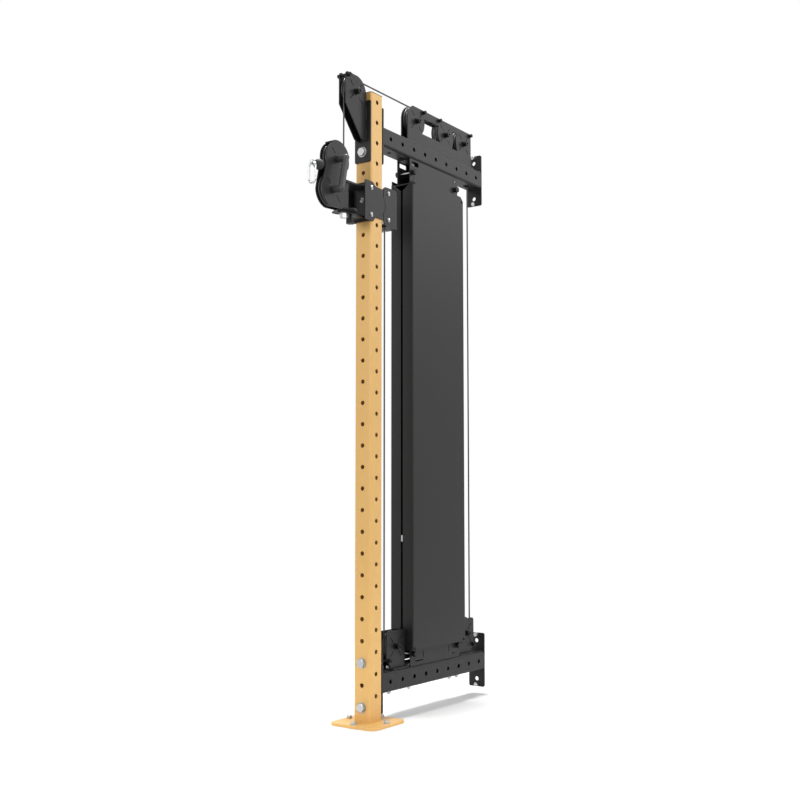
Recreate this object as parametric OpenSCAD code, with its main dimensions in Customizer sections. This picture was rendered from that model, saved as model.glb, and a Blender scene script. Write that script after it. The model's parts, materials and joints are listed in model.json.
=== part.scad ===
// Wall pulley weight stack: an upright and two wall beams carry a covered weight stack,
// a cable system with a two to one stack pulley, and a sliding carriage with a swing arm.
// Frame: origin on the floor under the upright, +Y to the wall, +X to the right, +Z up.

/* [Upright] */
// Outside width of the upright and beam tubes
tube_w = 75; // [70:1:80]
// Wall of the tubes
tube_t = 3; // [2:0.5:4]
// Outside corner radius of the tubes
tube_r = 9; // [6:0.5:12]
// Diameter of the adjustment holes
hole_d = 17; // [14:0.5:19]
// Distance from hole to hole
hole_pitch = 80; // [70:1:90]
// Height of the lowest side hole above the floor
first_hole_z = 103; // [95:1:110]
// Number of side holes up the upright
side_holes = 29; // [29:1:30]
// Upright left above the top side hole
head_room = 32; // [20:1:45]
// Height of the plastic cap
cap_t = 3; // [2:0.5:6]

/* [Foot] */
// Width of the square foot plate
foot_w = 210; // [190:1:240]
// Thickness of the foot plate
foot_t = 10; // [6:0.5:14]
// Corner radius of the foot plate
foot_r = 33; // [15:1:45]
// Distance of the floor anchors from the middle
anchor_d = 85; // [75:1:92]

/* [Beams] */
// Place of the lower beam's centre, in holes above the lowest side hole
lower_beam_hole = 0.5; // [0.5:1:1.5]
// Place of the upper beam's centre, in holes above the lowest side hole
upper_beam_hole = 26.5; // [26.5:1:26.5]
// Thickness of the plate that bolts to the upright
flange_t = 6; // [4:0.5:10]
// Height of the beam end plates
flange_h = 225; // [205:1:240]
// Distance from the upright's axis to the front face of the wall plates
wall_y = 774; // [765:1:785]
// Thickness of the wall plates
wall_plate_t = 6; // [4:0.5:10]
// First side hole of a beam, from the upright's axis
beam_hole_y = 91.5; // [85:0.5:98]
// Number of side holes along a beam
beam_holes = 9; // [7:1:9]
// Distance of a wall bolt beyond the open hole beside it
wall_bolt_step = 24; // [22:0.5:27]
// Diameter of the open holes in the wall plates
wall_hole_d = 18; // [17:0.5:20]

/* [Pulleys] */
// Radius at which the cable's centre runs on a pulley
cable_run_r = 54; // [50:0.5:56]
// Diameter of the cable
cable_d = 6; // [4:0.5:7]
// Rim height above the cable's centre
rim_over = 4.5; // [3:0.5:6]
// Width of a pulley
pulley_w = 22; // [18:0.5:24]
// Diameter of the pulley axles
axle_d = 10; // [8:0.5:12]
// Thickness of the bracket side plates
plate_t = 4; // [3:0.5:5]
// Gap beside a pulley's hub
hub_gap = 0.3; // [0.2:0.05:0.5]
// Distance of the front pulley's axle in front of the upright's axis
front_axle_y = 106; // [103:1:112]
// Height of the top pulley axles above the upper beam's centre
top_axle_z = 136; // [128:1:142]
// Height of the low pulley axles above the lower beam's centre
low_axle_z = 122; // [116:1:128]
// Distance of the low front pulley's axle from the upright's axis
low_front_y = 155; // [152:1:156]
// Distance of the wall side pulley axles from the upright's axis
wall_axle_y = 663; // [662:1:670]
// Plate edge beyond the axle
plate_edge = 64; // [62:0.5:66]
// Diagonal reach of the spacer bolts from the axle, along each axis
spacer_off = 49; // [48:0.5:51]

/* [Weight stack] */
// Distance of the stack's middle from the upright's axis
stack_y = 409; // [406:1:412]
// Number of weight plates
plate_count = 24; // [12:1:26]
// Number of weight plates lifted with the selector where it is
lifted_count = 4; // [1:1:8]
// Height taken by one weight plate
plate_pitch = 20; // [18:0.5:20]
// Gap between weight plates
plate_gap = 0.3; // [0.2:0.1:0.5]
// Width of a weight plate
weight_w = 88; // [80:1:92]
// Depth of a weight plate
weight_l = 330; // [300:1:345]
// Thickness of the top plate
top_plate_t = 26; // [20:1:32]
// Diameter of the guide rods
rod_d = 20; // [16:1:22]
// Distance of a guide rod in front of or behind the stack's middle
rod_off = 95; // [88:1:98]
// Distance of a guide rod beside the selector pin's line
rod_side = 22; // [20:0.5:23]
// Diameter of the selector stem
stem_d = 25; // [20:1:28]
// Diameter of the selector pin
pin_d = 8; // [7:0.2:8.4]
// Height of the stack pulley's axle above the top plate
clevis_h = 74; // [68:1:90]

/* [Covers] */
// Width of the stack covers together
cover_w = 107; // [104:1:112]
// Depth of the covers
cover_l = 381; // [376:1:383]
// Sheet thickness of the covers
cover_t = 2.5; // [1.5:0.5:3]
// Height of the covers' lower edge above the lower beam
cover_rise = 63; // [59.5:0.5:67.5]
// Distance of the covers' upper edge below the upper beam
cover_drop = 85.5; // [75.5:1:95.5]
// Width of the slit for the selector pin
slit_w = 9; // [8.5:0.5:14]
// Bend radius of the cover sheet
cover_r = 5; // [3.5:0.5:8]
// Half width of the stack brackets under and over the beams
bracket_w = 31.4; // [28:0.2:34]
// Length of the stack brackets
bracket_l = 356; // [340:2:362]
// Distance of the cover knobs from the stack's middle
knob_off = 158; // [150:1:164]

/* [Carriage] */
// Height of the carriage's middle above the adjustment hole that its pin faces
carriage_over_pin = 5; // [0:0.5:12]
// Number of the side hole that the carriage's pin faces
pin_hole = 23; // [20:1:23]
// Sheet thickness of the carriage
carriage_t = 4; // [3:0.5:5]
// Gap between the carriage's side plates and the upright
carriage_gap = 0.8; // [0.5:0.1:1.2]
// Height of the carriage
carriage_h = 152; // [144:1:156]
// Reach of the carriage's front edges from the upright's axis
carriage_reach = 81; // [76:1:88]
// Distance of the carriage's rear plate from the upright's axis
carriage_back = 124; // [118:1:128]
// Distance between the upper and lower carriage screws
screw_pitch = 104; // [96:1:108]
// Diameter of the pins that lock the carriage and the arm
lock_pin_d = 16; // [14:0.5:16]

/* [Swing arm] */
// Height of the upper arm pulley above the carriage's middle
arm_upper_z = 122; // [119:1:126]
// Height of the lower arm pulley above the carriage's middle
arm_lower_z = 2; // [-1:1:2]
// Distance of the lower arm pulley in front of the upper one
arm_lean = 25; // [20:1:32]
// Diameter of the swivel bolt
pivot_d = 16; // [14:0.5:18]
// Outside radius of the swivel barrel
barrel_r = 15; // [13:0.5:16]
// Radius of the rubber ball stop
ball_r = 20; // [18:0.5:24]
// Distance of the ball stop above the middle of the arm's front edge
ball_up = 4; // [0:1:8]
// Distance of the grip's middle from the arm's side plate
grip_reach = 36; // [30:1:42]
// Diameter of the grip
grip_d = 24; // [18:1:26]
// Height of the carabiner
hook_h = 82; // [78:1:90]
// Width of the carabiner
hook_w = 38; // [36:1:42]
// Diameter of the carabiner's wire
hook_d = 8; // [7:0.5:9]

/* [Hidden] */
$fn = 48;

black = [0.1, 0.1, 0.11];
steel = [0.78, 0.78, 0.78];
gold = [0.86, 0.66, 0.4];
rubber = [0.05, 0.05, 0.05];

// A cut reaches this far past a face
over = 1;
// A piece that slides or turns past a flat face clears it by this much
clear = 0.3;
// Radial running clearance of a turning or sliding shaft
run = 0.05;
// Radial clearance of a bolt in its hole
slack = 0.3;

half = tube_w / 2;
post_top = first_hole_z + hole_pitch * (side_holes - 1) + head_room;
lower_z = first_hole_z + hole_pitch * lower_beam_hole;
upper_z = first_hole_z + hole_pitch * upper_beam_hole;
flange_back = half + flange_t;
wall_back = wall_y + wall_plate_t;
beam_cross_y = beam_hole_y + hole_pitch / 2;

cable_r = cable_d / 2;
groove_r = cable_run_r - cable_r - clear;
rim_r = cable_run_r + rim_over;
hub_half = pulley_w / 2 + 1.7;
plate_in = hub_half + hub_gap;
plate_out = plate_in + plate_t;
washer_t = 2;
head_t = 17;
head_r = axle_d / 2 + 5.5;
nut_t = 10;
spacer_r = 6;
spacer_head_r = 8.5;
spacer_head_t = 13;
slit_cut = 3;

front_y = -front_axle_y;
top_z = upper_z + top_axle_z;
low_z = lower_z + low_axle_z;
a_y = stack_y - 2 * cable_run_r;
b_y = stack_y + 2 * cable_run_r;
c_y = wall_axle_y;
d_y = wall_axle_y;
e_y = low_front_y;
fall_y = stack_y - cable_run_r;
rise_y = stack_y + cable_run_r;
rear_run_y = c_y + cable_run_r;
anchor_y = e_y - cable_run_r;
pivot_y = front_y - cable_run_r;
beam_top_z = upper_z + half;
beam_low_z = upper_z - half;
low_top_z = lower_z + half;
low_bottom_z = lower_z - half;
base_t = 5;
base_w = 60;
front_base_w = 74;
front_base_h = 240;
front_tail = 177;
low_base_out = 32;
low_base_gap = 8;
low_plate_gap = 16;
post_bolt_r = 8;
post_bolt_af = 30;
post_washer_r = 19.5;
// Windows of the top bracket: drop, rise, radius of the sides and inset of their middles
window_ab = [42, 26, 57.5, 0];
window_bc = [44, 31, 92, 30];
knob_z_high = beam_low_z - 54;
knob_z_low = low_top_z + 47;
knob_r = 13.5;
base_bolt_y = [stack_y - 169, stack_y + 121];

cover_z0 = low_top_z + cover_rise;
cover_z1 = beam_low_z - cover_drop;
deck_t = 5;
deck_z = cover_z0 + 2 * cover_t;
deck_top = deck_z + deck_t;
bumper_t = 8;
rod_neck = rod_d / 2 - 4;
stack_z0 = deck_top + bumper_t;
rest_count = plate_count - lifted_count;
plates_top = stack_z0 + plate_count * plate_pitch;
top_plate_z = plates_top;
top_plate_top = top_plate_z + top_plate_t;
stack_axle_z = top_plate_top + clevis_h;
pin_z = plates_top - (lifted_count - 0.5) * plate_pitch - plate_gap / 2;
cover_front = stack_y - cover_l / 2;
cover_back = stack_y + cover_l / 2;
cover_half = cover_w / 2;
deck_half = cover_half - cover_t - clear;
cover_deck_z = cover_z1 - 24;
cover_screw_off = cover_l / 2 - 12;

pin_level = first_hole_z + hole_pitch * pin_hole;
car_z = pin_level + carriage_over_pin;
car_z0 = car_z - carriage_h / 2;
car_z1 = car_z + carriage_h / 2;
car_in = half + carriage_gap;
car_out = car_in + carriage_t;
web_front = half + 8.5;
web_back = web_front - carriage_t;
screw_r = 2.9;
screw_depth = 12;
screw_front_y = -(half + 4);
screw_rear_y = half + 32;
lug_r = 22;
lug_t = 7;
lug_low_z = car_z0 + 9;
index_t = 5;
index_r = 52;
index_front_r = 32;
index_z = lug_low_z + lug_t + clear;
barrel_top = car_z + 48;
lug_high_z = barrel_top + clear;
lock_off = 43;
housing_l = 26;
pin_throw = 14;

arm_uy = pivot_y - cable_run_r;
arm_uz = car_z + arm_upper_z;
arm_ly = arm_uy - arm_lean;
arm_lz = car_z + arm_lower_z;
arm_edge = rim_r + 7;
arm_c = norm([arm_uy - arm_ly, arm_uz - arm_lz]);
arm_tilt = atan2(arm_uz - arm_lz, arm_uy - arm_ly);
ball_out = arm_edge + sqrt(pow(ball_r, 2) - pow(plate_in, 2)) + clear;
ball_y = (arm_uy + arm_ly) / 2 + ball_up * cos(arm_tilt) - ball_out * sin(arm_tilt);
ball_z = (arm_uz + arm_lz) / 2 + ball_up * sin(arm_tilt) + ball_out * cos(arm_tilt);
ball_flat = 3;
ball_dist = norm([ball_y - arm_uy, ball_z - arm_uz]);
ball_dir = atan2(ball_z - arm_uz, ball_y - arm_uy);
leave_a = ball_dir + acos(cable_run_r / ball_dist);
leave_y = arm_uy + cable_run_r * cos(leave_a);
leave_z = arm_uz + cable_run_r * sin(leave_a);
eye_r = 9;
eye_wire = 2.6;
eye_y = ball_y - ball_r - 17;
hook_r = hook_w / 2 - hook_d / 2;
hook_z = ball_z - eye_r + eye_wire + hook_d / 2 + clear;
hook_arch_z = hook_z - hook_r;
hook_bow_z = hook_z + hook_d - hook_h + hook_r;
gate_z = hook_bow_z + 6;
gate_r = hook_d / 2 - 0.8;
gate_foot_z = gate_z + clear + gate_r;
gate_l = hook_arch_z - clear - gate_foot_z;

// Places of the two guide rods, on either side of the selector pin's line
rods = [[rod_side, stack_y - rod_off], [-rod_side, stack_y + rod_off]];

// Points along an arc about c, from angle a0 to a1
function arc(c, r, a0, a1, n = 10) =
    [for (i = [0:n]) let (a = a0 + (a1 - a0) * i / n) [c[0] + r * cos(a), c[1] + r * sin(a)]];

// Outline in the plane of Y and Z, given a thickness along X from x0
module plate_x(x0, t) {
    translate([x0, 0, 0]) rotate([90, 0, 90]) linear_extrude(t) children();
}

// Outline in the plane of X and Z, given a thickness along Y from y0
module plate_y(y0, t) {
    translate([0, y0 + t, 0]) rotate([90, 0, 0]) linear_extrude(t) children();
}

module both_sides() {
    children();
    mirror([1, 0, 0]) children();
}

module rod_x(x0, x1, y, z, r) {
    translate([x0, y, z]) rotate([0, 90, 0]) cylinder(r = r, h = x1 - x0);
}

module rod_y(y0, y1, x, z, r) {
    translate([x, y0, z]) rotate([-90, 0, 0]) cylinder(r = r, h = y1 - y0);
}

module rod_z(z0, z1, x, y, r) {
    translate([x, y, z0]) cylinder(r = r, h = z1 - z0);
}

module round_rect(w, h, r) {
    square([w - 2 * r, h], center = true);
    square([w, h - 2 * r], center = true);
    for (x = [-1, 1], y = [-1, 1]) translate([x * (w / 2 - r), y * (h / 2 - r)]) circle(r);
}

module tube_2d() {
    difference() {
        round_rect(tube_w, tube_w, tube_r);
        round_rect(tube_w - 2 * tube_t, tube_w - 2 * tube_t, tube_r - tube_t);
    }
}

// Slot along Y with round ends, cut down through a plate
module slot_z(y0, y1, r, z0, z1) {
    for (y = [y0, y1]) rod_z(z0, z1, 0, y, r);
    translate([-r, y0, z0]) cube([2 * r, y1 - y0, z1 - z0]);
}

// Hexagon bolt head or nut with a washer under it, standing up from z = 0
module hex_head(af, h, washer_r) {
    cylinder(r = washer_r, h = 2.5);
    translate([0, 0, 2.5]) cylinder(d = af / cos(30), h = h, $fn = 6);
}

// Cable pulley about the X axis with its middle at the origin
module pulley(bore_r) {
    lip = pulley_w / 2;
    mouth = 6.5;
    web = 4;
    hub_r = 14;
    rim_in = groove_r - 5;
    groove = cable_r + clear + 0.1;
    half_side = concat([[hub_half, bore_r], [hub_half, hub_r], [web, hub_r + 4], [web, rim_in - 3],
        [lip, rim_in], [lip, rim_r - 1.5], [lip - 1, rim_r], [mouth, rim_r]],
        [for (a = [0:15:75]) [groove * cos(a), cable_run_r - groove * sin(a)]]);
    bottom = [[0, cable_run_r - groove]];
    other = [for (i = [len(half_side) - 1:-1:0]) [-half_side[i][0], half_side[i][1]]];
    rotate([0, 90, 0]) rotate_extrude($fn = 96)
        polygon([for (p = concat(half_side, bottom, other)) [p[1], p[0]]]);
}

module pulley_at(y, z) {
    translate([0, y, z]) pulley(axle_d / 2 + run);
}

// Axle bolt with round head, washers and nut, through two side plates
module axle_bolt(y, z, x0 = -plate_out, x1 = plate_out) {
    rod_x(x0, x1, y, z, axle_d / 2);
    rod_x(x1, x1 + washer_t, y, z, head_r + 2.5);
    rod_x(x1 + washer_t, x1 + washer_t + head_t - 1.5, y, z, head_r);
    translate([x1 + washer_t + head_t - 1.5, y, z]) rotate([0, 90, 0])
        cylinder(r1 = head_r, r2 = head_r - 1.5, h = 1.5);
    rod_x(x0 - washer_t, x0, y, z, head_r + 2.5);
    translate([x0 - washer_t, y, z]) rotate([0, -90, 0]) cylinder(r = head_r, h = nut_t, $fn = 6);
}

// Tube between the side plates that keeps the cable on its pulley, with bolt heads outside
module spacer(y, z) {
    rod_x(-plate_in, plate_in, y, z, spacer_r);
    for (s = [0, 1]) mirror([s, 0, 0]) {
        rod_x(plate_in, plate_out, y, z, 3.9);
        rod_x(plate_out, plate_out + spacer_head_t, y, z, spacer_head_r);
    }
}

// Four diagonal slits round an axle, cut from a side plate outline
module slits_2d(c) {
    for (a = [45:90:315]) translate(c) rotate(a) translate([23.5, -slit_cut / 2])
        square([28.5, slit_cut]);
}

module axle_hole_2d(c) {
    translate(c) circle(axle_d / 2 + slack);
}

module spacer_hole_2d(c) {
    translate(c) circle(4.2);
}

module upright() {
    color(gold) difference() {
        translate([0, 0, foot_t]) linear_extrude(post_top - foot_t) tube_2d();
        for (i = [0:side_holes - 1])
            rod_x(-half - over, half + over, 0, first_hole_z + i * hole_pitch, hole_d / 2);
        for (i = [-0.5:side_holes - 1.5])
            rod_y(-half - over, half + over, 0, first_hole_z + i * hole_pitch, hole_d / 2);
    }
}

module foot_plate() {
    color(gold) difference() {
        linear_extrude(foot_t) round_rect(foot_w, foot_w, foot_r);
        for (a = [0:90:270]) rotate(a) rod_z(-over, foot_t + over, anchor_d, 0, 6.5);
    }
}

module upright_cap() {
    color(rubber) {
        translate([0, 0, post_top]) linear_extrude(cap_t) round_rect(tube_w, tube_w, tube_r);
        translate([0, 0, post_top - 16]) linear_extrude(16)
            round_rect(tube_w - 2 * tube_t - 1, tube_w - 2 * tube_t - 1, tube_r - tube_t - 0.5);
    }
}

// Bolts through the upright, with heads in front and nuts behind the beam flanges
module through_bolt(z, front, af, washer_r) {
    rod_y(-front, flange_back, 0, z, post_bolt_r);
    translate([0, -front, z]) rotate([90, 0, 0]) hex_head(af, 10, washer_r);
    translate([0, flange_back, z]) rotate([-90, 0, 0]) hex_head(24, 13, 15);
}

// Bolt down through a beam, with its head on top of a base plate
module beam_bolt(y, z_head, z_nut) {
    rod_z(z_nut, z_head, 0, y, 6);
    translate([0, y, z_head]) hex_head(19, 7, 11);
    translate([0, y, z_nut]) mirror([0, 0, 1]) hex_head(19, 9, 12);
}

module frame_bolts() {
    color(steel) {
        for (s = [-1, 1])
            through_bolt(lower_z + s * hole_pitch, half, post_bolt_af, post_washer_r);
        through_bolt(upper_z - hole_pitch, half + base_t, post_bolt_af, post_washer_r);
        through_bolt(upper_z + hole_pitch, half + base_t, 21, 12.5);
        for (a = [0:90:270]) rotate(a) translate([anchor_d, 0, 0]) {
            rod_z(0, foot_t, 0, 0, 6);
            translate([0, 0, foot_t]) hex_head(19, 8, 12);
        }
        for (z = [lower_z, upper_z], s = [-1, 1]) {
            bolt_z = z + s * (hole_pitch + wall_bolt_step);
            rod_y(wall_y, wall_back, 0, bolt_z, 5.8);
            translate([0, wall_y, bolt_z]) rotate([90, 0, 0]) hex_head(16, 7, 8.4);
        }
        for (i = [2, 5]) beam_bolt(beam_cross_y + i * hole_pitch, beam_top_z + base_t,
            beam_low_z - base_t);
        beam_bolt(beam_cross_y + 6 * hole_pitch, beam_top_z + base_t, beam_low_z);
        beam_bolt(beam_cross_y + hole_pitch * 0, low_top_z + base_t, low_bottom_z);
        beam_bolt(beam_cross_y + hole_pitch * 6, low_top_z + base_t, low_bottom_z);
        for (s = [-1, 1], y = base_bolt_y) translate([s * 17, y, 0]) {
            rod_z(low_bottom_z, low_top_z + base_t, 0, 0, 4);
            translate([0, 0, low_top_z + base_t]) hex_head(13, 5, 8);
            translate([0, 0, low_bottom_z]) mirror([0, 0, 1]) hex_head(13, 6, 8);
        }
    }
}
// Beam tube with its two end plates welded on
module beam(z) {
    difference() {
        union() {
            translate([0, flange_back, z]) rotate([-90, 0, 0])
                linear_extrude(wall_y - flange_back) tube_2d();
            plate_y(half, flange_t) translate([0, z]) round_rect(tube_w, flange_h, 8);
            plate_y(wall_y, wall_plate_t) translate([0, z]) round_rect(tube_w, flange_h, 8);
        }
        for (i = [0:beam_holes - 1]) rod_x(-half - over, half + over, beam_hole_y + i * hole_pitch,
            z, hole_d / 2);
        for (s = [-1, 1]) {
            rod_y(half - over, flange_back + over, 0, z + s * hole_pitch, hole_d / 2);
            rod_y(wall_y - over, wall_back + over, 0, z + s * hole_pitch, wall_hole_d / 2);
            rod_y(wall_y - over, wall_back + over, 0, z + s * (hole_pitch + wall_bolt_step), 6.5);
        }
    }
}

// Slots that let the cable down through the upper beam and what is bolted to it
module cable_slots(z0, z1) {
    slot_z(fall_y - 4, fall_y + 12, hole_d / 2, z0, z1);
    slot_z(rise_y - 12, rise_y + 4, hole_d / 2, z0, z1);
    slot_z(rear_run_y - 20, rear_run_y + 4, hole_d / 2, z0, z1);
}

module upper_beam() {
    color(black) difference() {
        beam(upper_z);
        for (i = [0, 1, 2, 5, 6]) rod_z(upper_z - tube_w, upper_z + tube_w, 0,
            beam_cross_y + i * hole_pitch, hole_d / 2);
        cable_slots(upper_z - tube_w, upper_z + tube_w);
    }
}

module lower_beam() {
    color(black) difference() {
        beam(lower_z);
        for (i = [0:7]) rod_z(lower_z - tube_w, lower_z + tube_w, 0,
            beam_cross_y + i * hole_pitch, hole_d / 2);
        for (s = [-1, 1], y = base_bolt_y)
            rod_z(lower_z - tube_w, lower_z + tube_w, s * 17, y, 4.4);
    }
}

// Side plate outline of the front bracket
module front_plate_2d() {
    c = [front_y, top_z];
    corner = [front_y - spacer_off - 2, top_z + spacer_off + 2];
    back = -half - base_t;
    difference() {
        polygon(concat([[back, top_z - front_tail]], arc(c, back - front_y, 0, 85, 16),
            arc(corner, 12, 95, 180, 8),
            [[corner[0] - 12, top_z - 60], [front_y + 32, top_z - front_tail + 5]]));
        slits_2d(c);
        axle_hole_2d(c);
        spacer_hole_2d(corner);
    }
}

module front_bracket() {
    color(black) {
        both_sides() plate_x(plate_in, plate_t) front_plate_2d();
        difference() {
            plate_y(-half - base_t, base_t) translate([0, upper_z])
                round_rect(front_base_w, front_base_h, 6);
            for (s = [-1, 1]) rod_y(-half - base_t - over, -half + over, 0,
                upper_z + s * hole_pitch, 8.4);
        }
    }
}

// Window between two pulleys, its sides curved round points that lie inset behind their axles
module window_2d(y0, y1, w) {
    r = w[2];
    d0 = asin(-w[0] / r);
    d1 = asin(w[1] / r);
    polygon(concat(arc([y0 - w[3], top_z], r, d0, d1, 12),
        arc([y1 + w[3], top_z], r, 180 - d1, 180 - d0, 12)));
}

module top_plate_outline_2d() {
    z_base = beam_top_z + base_t;
    z_edge = top_z + spacer_off + 9;
    y_end = c_y + plate_edge - 5;
    a_edge = asin((z_edge - top_z) / plate_edge);
    difference() {
        polygon(concat([[a_y - plate_edge, z_base]],
            arc([a_y, top_z], plate_edge, 180, 180 - a_edge, 12),
            arc([y_end - 8, z_edge - 8], 8, 90, 0, 6), [[y_end, z_base]]));
        for (y = [a_y, b_y, c_y]) {
            slits_2d([y, top_z]);
            axle_hole_2d([y, top_z]);
        }
        spacer_hole_2d([a_y + spacer_off, top_z + spacer_off]);
        spacer_hole_2d([b_y - spacer_off, top_z + spacer_off]);
        spacer_hole_2d([c_y + spacer_off, top_z + spacer_off]);
        window_2d(a_y, b_y, window_ab);
        window_2d(b_y, c_y, window_bc);
    }
}

module top_bracket() {
    y0 = a_y - plate_edge;
    y1 = c_y + plate_edge - 5;
    color(black) {
        both_sides() plate_x(plate_in, plate_t) top_plate_outline_2d();
        difference() {
            translate([-base_w / 2, y0, beam_top_z]) cube([base_w, y1 - y0, base_t]);
            for (i = [2, 5, 6]) rod_z(beam_top_z - over, beam_top_z + base_t + over, 0,
                beam_cross_y + i * hole_pitch, 6.5);
            cable_slots(beam_top_z - over, beam_top_z + base_t + over);
        }
    }
}

// Side plate of a low bracket: s = -1 faces the upright, s = 1 faces the wall
module low_plate_2d(y, s) {
    z_base = low_top_z + base_t;
    z_edge = low_z + spacer_off + 12;
    out = y + s * (plate_edge - 4);
    inner = stack_y + s * (bracket_l / 2 + low_plate_gap);
    difference() {
        polygon(concat([[inner, z_base], [inner, z_edge - 6], [inner + s * 6, z_edge]],
            arc([out - s * 13, z_edge - 13], 13, 90, s > 0 ? 0 : 180, 8),
            [[out, low_z - 44], [y + s * low_base_out, z_base]]));
        slits_2d([y, low_z]);
        axle_hole_2d([y, low_z]);
        spacer_hole_2d([y + s * spacer_off, low_z - spacer_off]);
    }
}

module low_bracket(y, s, bolt_y) {
    inner = stack_y + s * (bracket_l / 2 + low_base_gap);
    outer = y + s * low_base_out;
    color(black) {
        both_sides() plate_x(plate_in, plate_t) low_plate_2d(y, s);
        difference() {
            translate([-base_w / 2, min(inner, outer), low_top_z])
                cube([base_w, abs(outer - inner), base_t]);
            rod_z(low_top_z - over, low_top_z + base_t + over, 0, bolt_y, 6.5);
        }
    }
}

module lower_front_bracket() {
    low_bracket(e_y, -1, beam_cross_y);
}

module lower_rear_bracket() {
    low_bracket(d_y, 1, beam_cross_y + 6 * hole_pitch);
}

module pulley_axles() {
    color(black) {
        axle_bolt(front_y, top_z);
        for (y = [a_y, b_y, c_y]) axle_bolt(y, top_z);
        for (y = [e_y, d_y]) axle_bolt(y, low_z);
    }
}

module bracket_spacers() {
    color(black) {
        spacer(front_y - spacer_off - 2, top_z + spacer_off + 2);
        spacer(a_y + spacer_off, top_z + spacer_off);
        spacer(b_y - spacer_off, top_z + spacer_off);
        spacer(c_y + spacer_off, top_z + spacer_off);
        spacer(e_y - spacer_off, low_z - spacer_off);
        spacer(d_y + spacer_off, low_z - spacer_off);
    }
}

// Deck that fills the covers, its corners rounded inside their bends
module cover_deck(z) {
    translate([0, stack_y, z]) linear_extrude(deck_t)
        round_rect(2 * deck_half, cover_l - 2 * cover_t - 2 * clear, cover_r);
}

// Channel under the upper beam that holds the guide rods' tops and the covers
module upper_stack_bracket() {
    y0 = stack_y - bracket_l / 2;
    z_low = cover_deck_z + deck_t;
    win_z = beam_low_z - 17.5;
    color(black) difference() {
        union() {
            translate([-bracket_w, y0, beam_low_z - base_t]) cube([2 * bracket_w, bracket_l, base_t]);
            both_sides() plate_x(bracket_w - plate_t, plate_t)
                translate([y0, z_low]) square([bracket_l, beam_low_z - z_low]);
            cover_deck(cover_deck_z);
        }
        both_sides() plate_x(bracket_w - plate_t - over, plate_t + 2 * over) {
            translate([y0 + 36.5, win_z]) round_rect(49, 18.5, 4);
            translate([y0 + bracket_l - 24, win_z]) round_rect(27, 5, 2);
        }
        for (p = rods)
            rod_z(cover_deck_z - over, cover_deck_z + deck_t + over, p[0], p[1], rod_neck + run);
        for (s = [-1, 1])
            rod_x(-bracket_w - over, bracket_w + over, stack_y + s * knob_off, knob_z_high, 4.3);
        for (i = [2, 5]) rod_z(beam_low_z - base_t - over, beam_low_z + over, 0,
            beam_cross_y + i * hole_pitch, 6.5);
        slot_z(fall_y - 4, fall_y + 12, hole_d / 2, beam_low_z - base_t - over, beam_low_z + over);
        slot_z(rise_y - 12, rise_y + 4, hole_d / 2, beam_low_z - base_t - over, beam_low_z + over);
        translate([-20, fall_y - 14, cover_deck_z - over])
            cube([40, 2 * cable_run_r + 28, deck_t + 2 * over]);
    }
}
// Channel on the lower beam, with a deck under the weight stack
module lower_stack_bracket() {
    y0 = stack_y - bracket_l / 2;
    color(black) difference() {
        union() {
            translate([-bracket_w, y0, low_top_z]) cube([2 * bracket_w, bracket_l, base_t]);
            both_sides() plate_x(bracket_w - plate_t, plate_t)
                translate([y0, low_top_z]) square([bracket_l, deck_z + deck_t / 2 - low_top_z]);
            cover_deck(deck_z);
        }
        both_sides() plate_x(bracket_w - plate_t - over, plate_t + 2 * over) {
            translate([y0 + 89, low_top_z + 39]) round_rect(4, 24, 1.5);
            translate([y0 + 62, low_top_z + 17]) round_rect(56, 4, 1.5);
            translate([y0 + bracket_l - 82, low_top_z + 39]) round_rect(4, 24, 1.5);
            translate([y0 + bracket_l - 55, low_top_z + 17]) round_rect(42, 4, 1.5);
        }
        for (p = rods) rod_z(deck_z - over, deck_top + over, p[0], p[1], rod_neck + run);
        for (s = [-1, 1]) {
            rod_x(-bracket_w - over, bracket_w + over, stack_y + s * knob_off, knob_z_low, 4.3);
            for (y = base_bolt_y)
                rod_z(low_top_z - over, low_top_z + base_t + over, s * 17, y, 4.4);
        }
    }
}

// Half of the stack's cover: a sheet bent round the side, with a flange at the front and back
module cover_outline_2d() {
    y0 = cover_front;
    y1 = cover_back;
    x1 = cover_half;
    x0 = slit_w / 2;
    t = cover_t;
    r = cover_r;
    ri = r - t;
    polygon(concat([[x0, y0]], arc([x1 - r, y0 + r], r, -90, 0, 6),
        arc([x1 - r, y1 - r], r, 0, 90, 6), [[x0, y1], [x0, y1 - t]],
        arc([x1 - r, y1 - r], ri, 90, 0, 6), arc([x1 - r, y0 + r], ri, 0, -90, 6),
        [[x0, y0 + t]]));
}

// The right half; its front corners fall away to the slit, and its back top corner is cut
module cover_half_shell() {
    notch_w = 41;
    notch_h = 32;
    drop = 15;
    cut = 22;
    difference() {
        translate([0, 0, cover_z0]) linear_extrude(cover_z1 - cover_z0) cover_outline_2d();
        plate_y(cover_front - over, cover_r + 2 * over) polygon([[0, cover_z1 + over],
            [cover_half + over, cover_z1 + over], [cover_half + over, cover_z1 - drop - 8],
            [cover_half - 5, cover_z1 - drop], [slit_w / 2 + notch_w, cover_z1 - drop],
            [slit_w / 2, cover_z1 - drop - notch_h], [0, cover_z1 - drop - notch_h]]);
        plate_x(-over, cover_half + 2 * over) polygon([[cover_back + over, cover_z1 + over],
            [cover_back - cut, cover_z1 + over], [cover_back - cut, cover_z1],
            [cover_back + over, cover_z1 - cut]]);
        for (s = [-1, 1], z = [deck_z + deck_t / 2, cover_deck_z + deck_t / 2])
            rod_x(cover_half - 2 * cover_t, cover_half + over, stack_y + s * cover_screw_off, z, 2.4);
    }
}

module right_cover() {
    color(black) cover_half_shell();
}

module left_cover() {
    color(black) mirror([1, 0, 0]) cover_half_shell();
}

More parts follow.
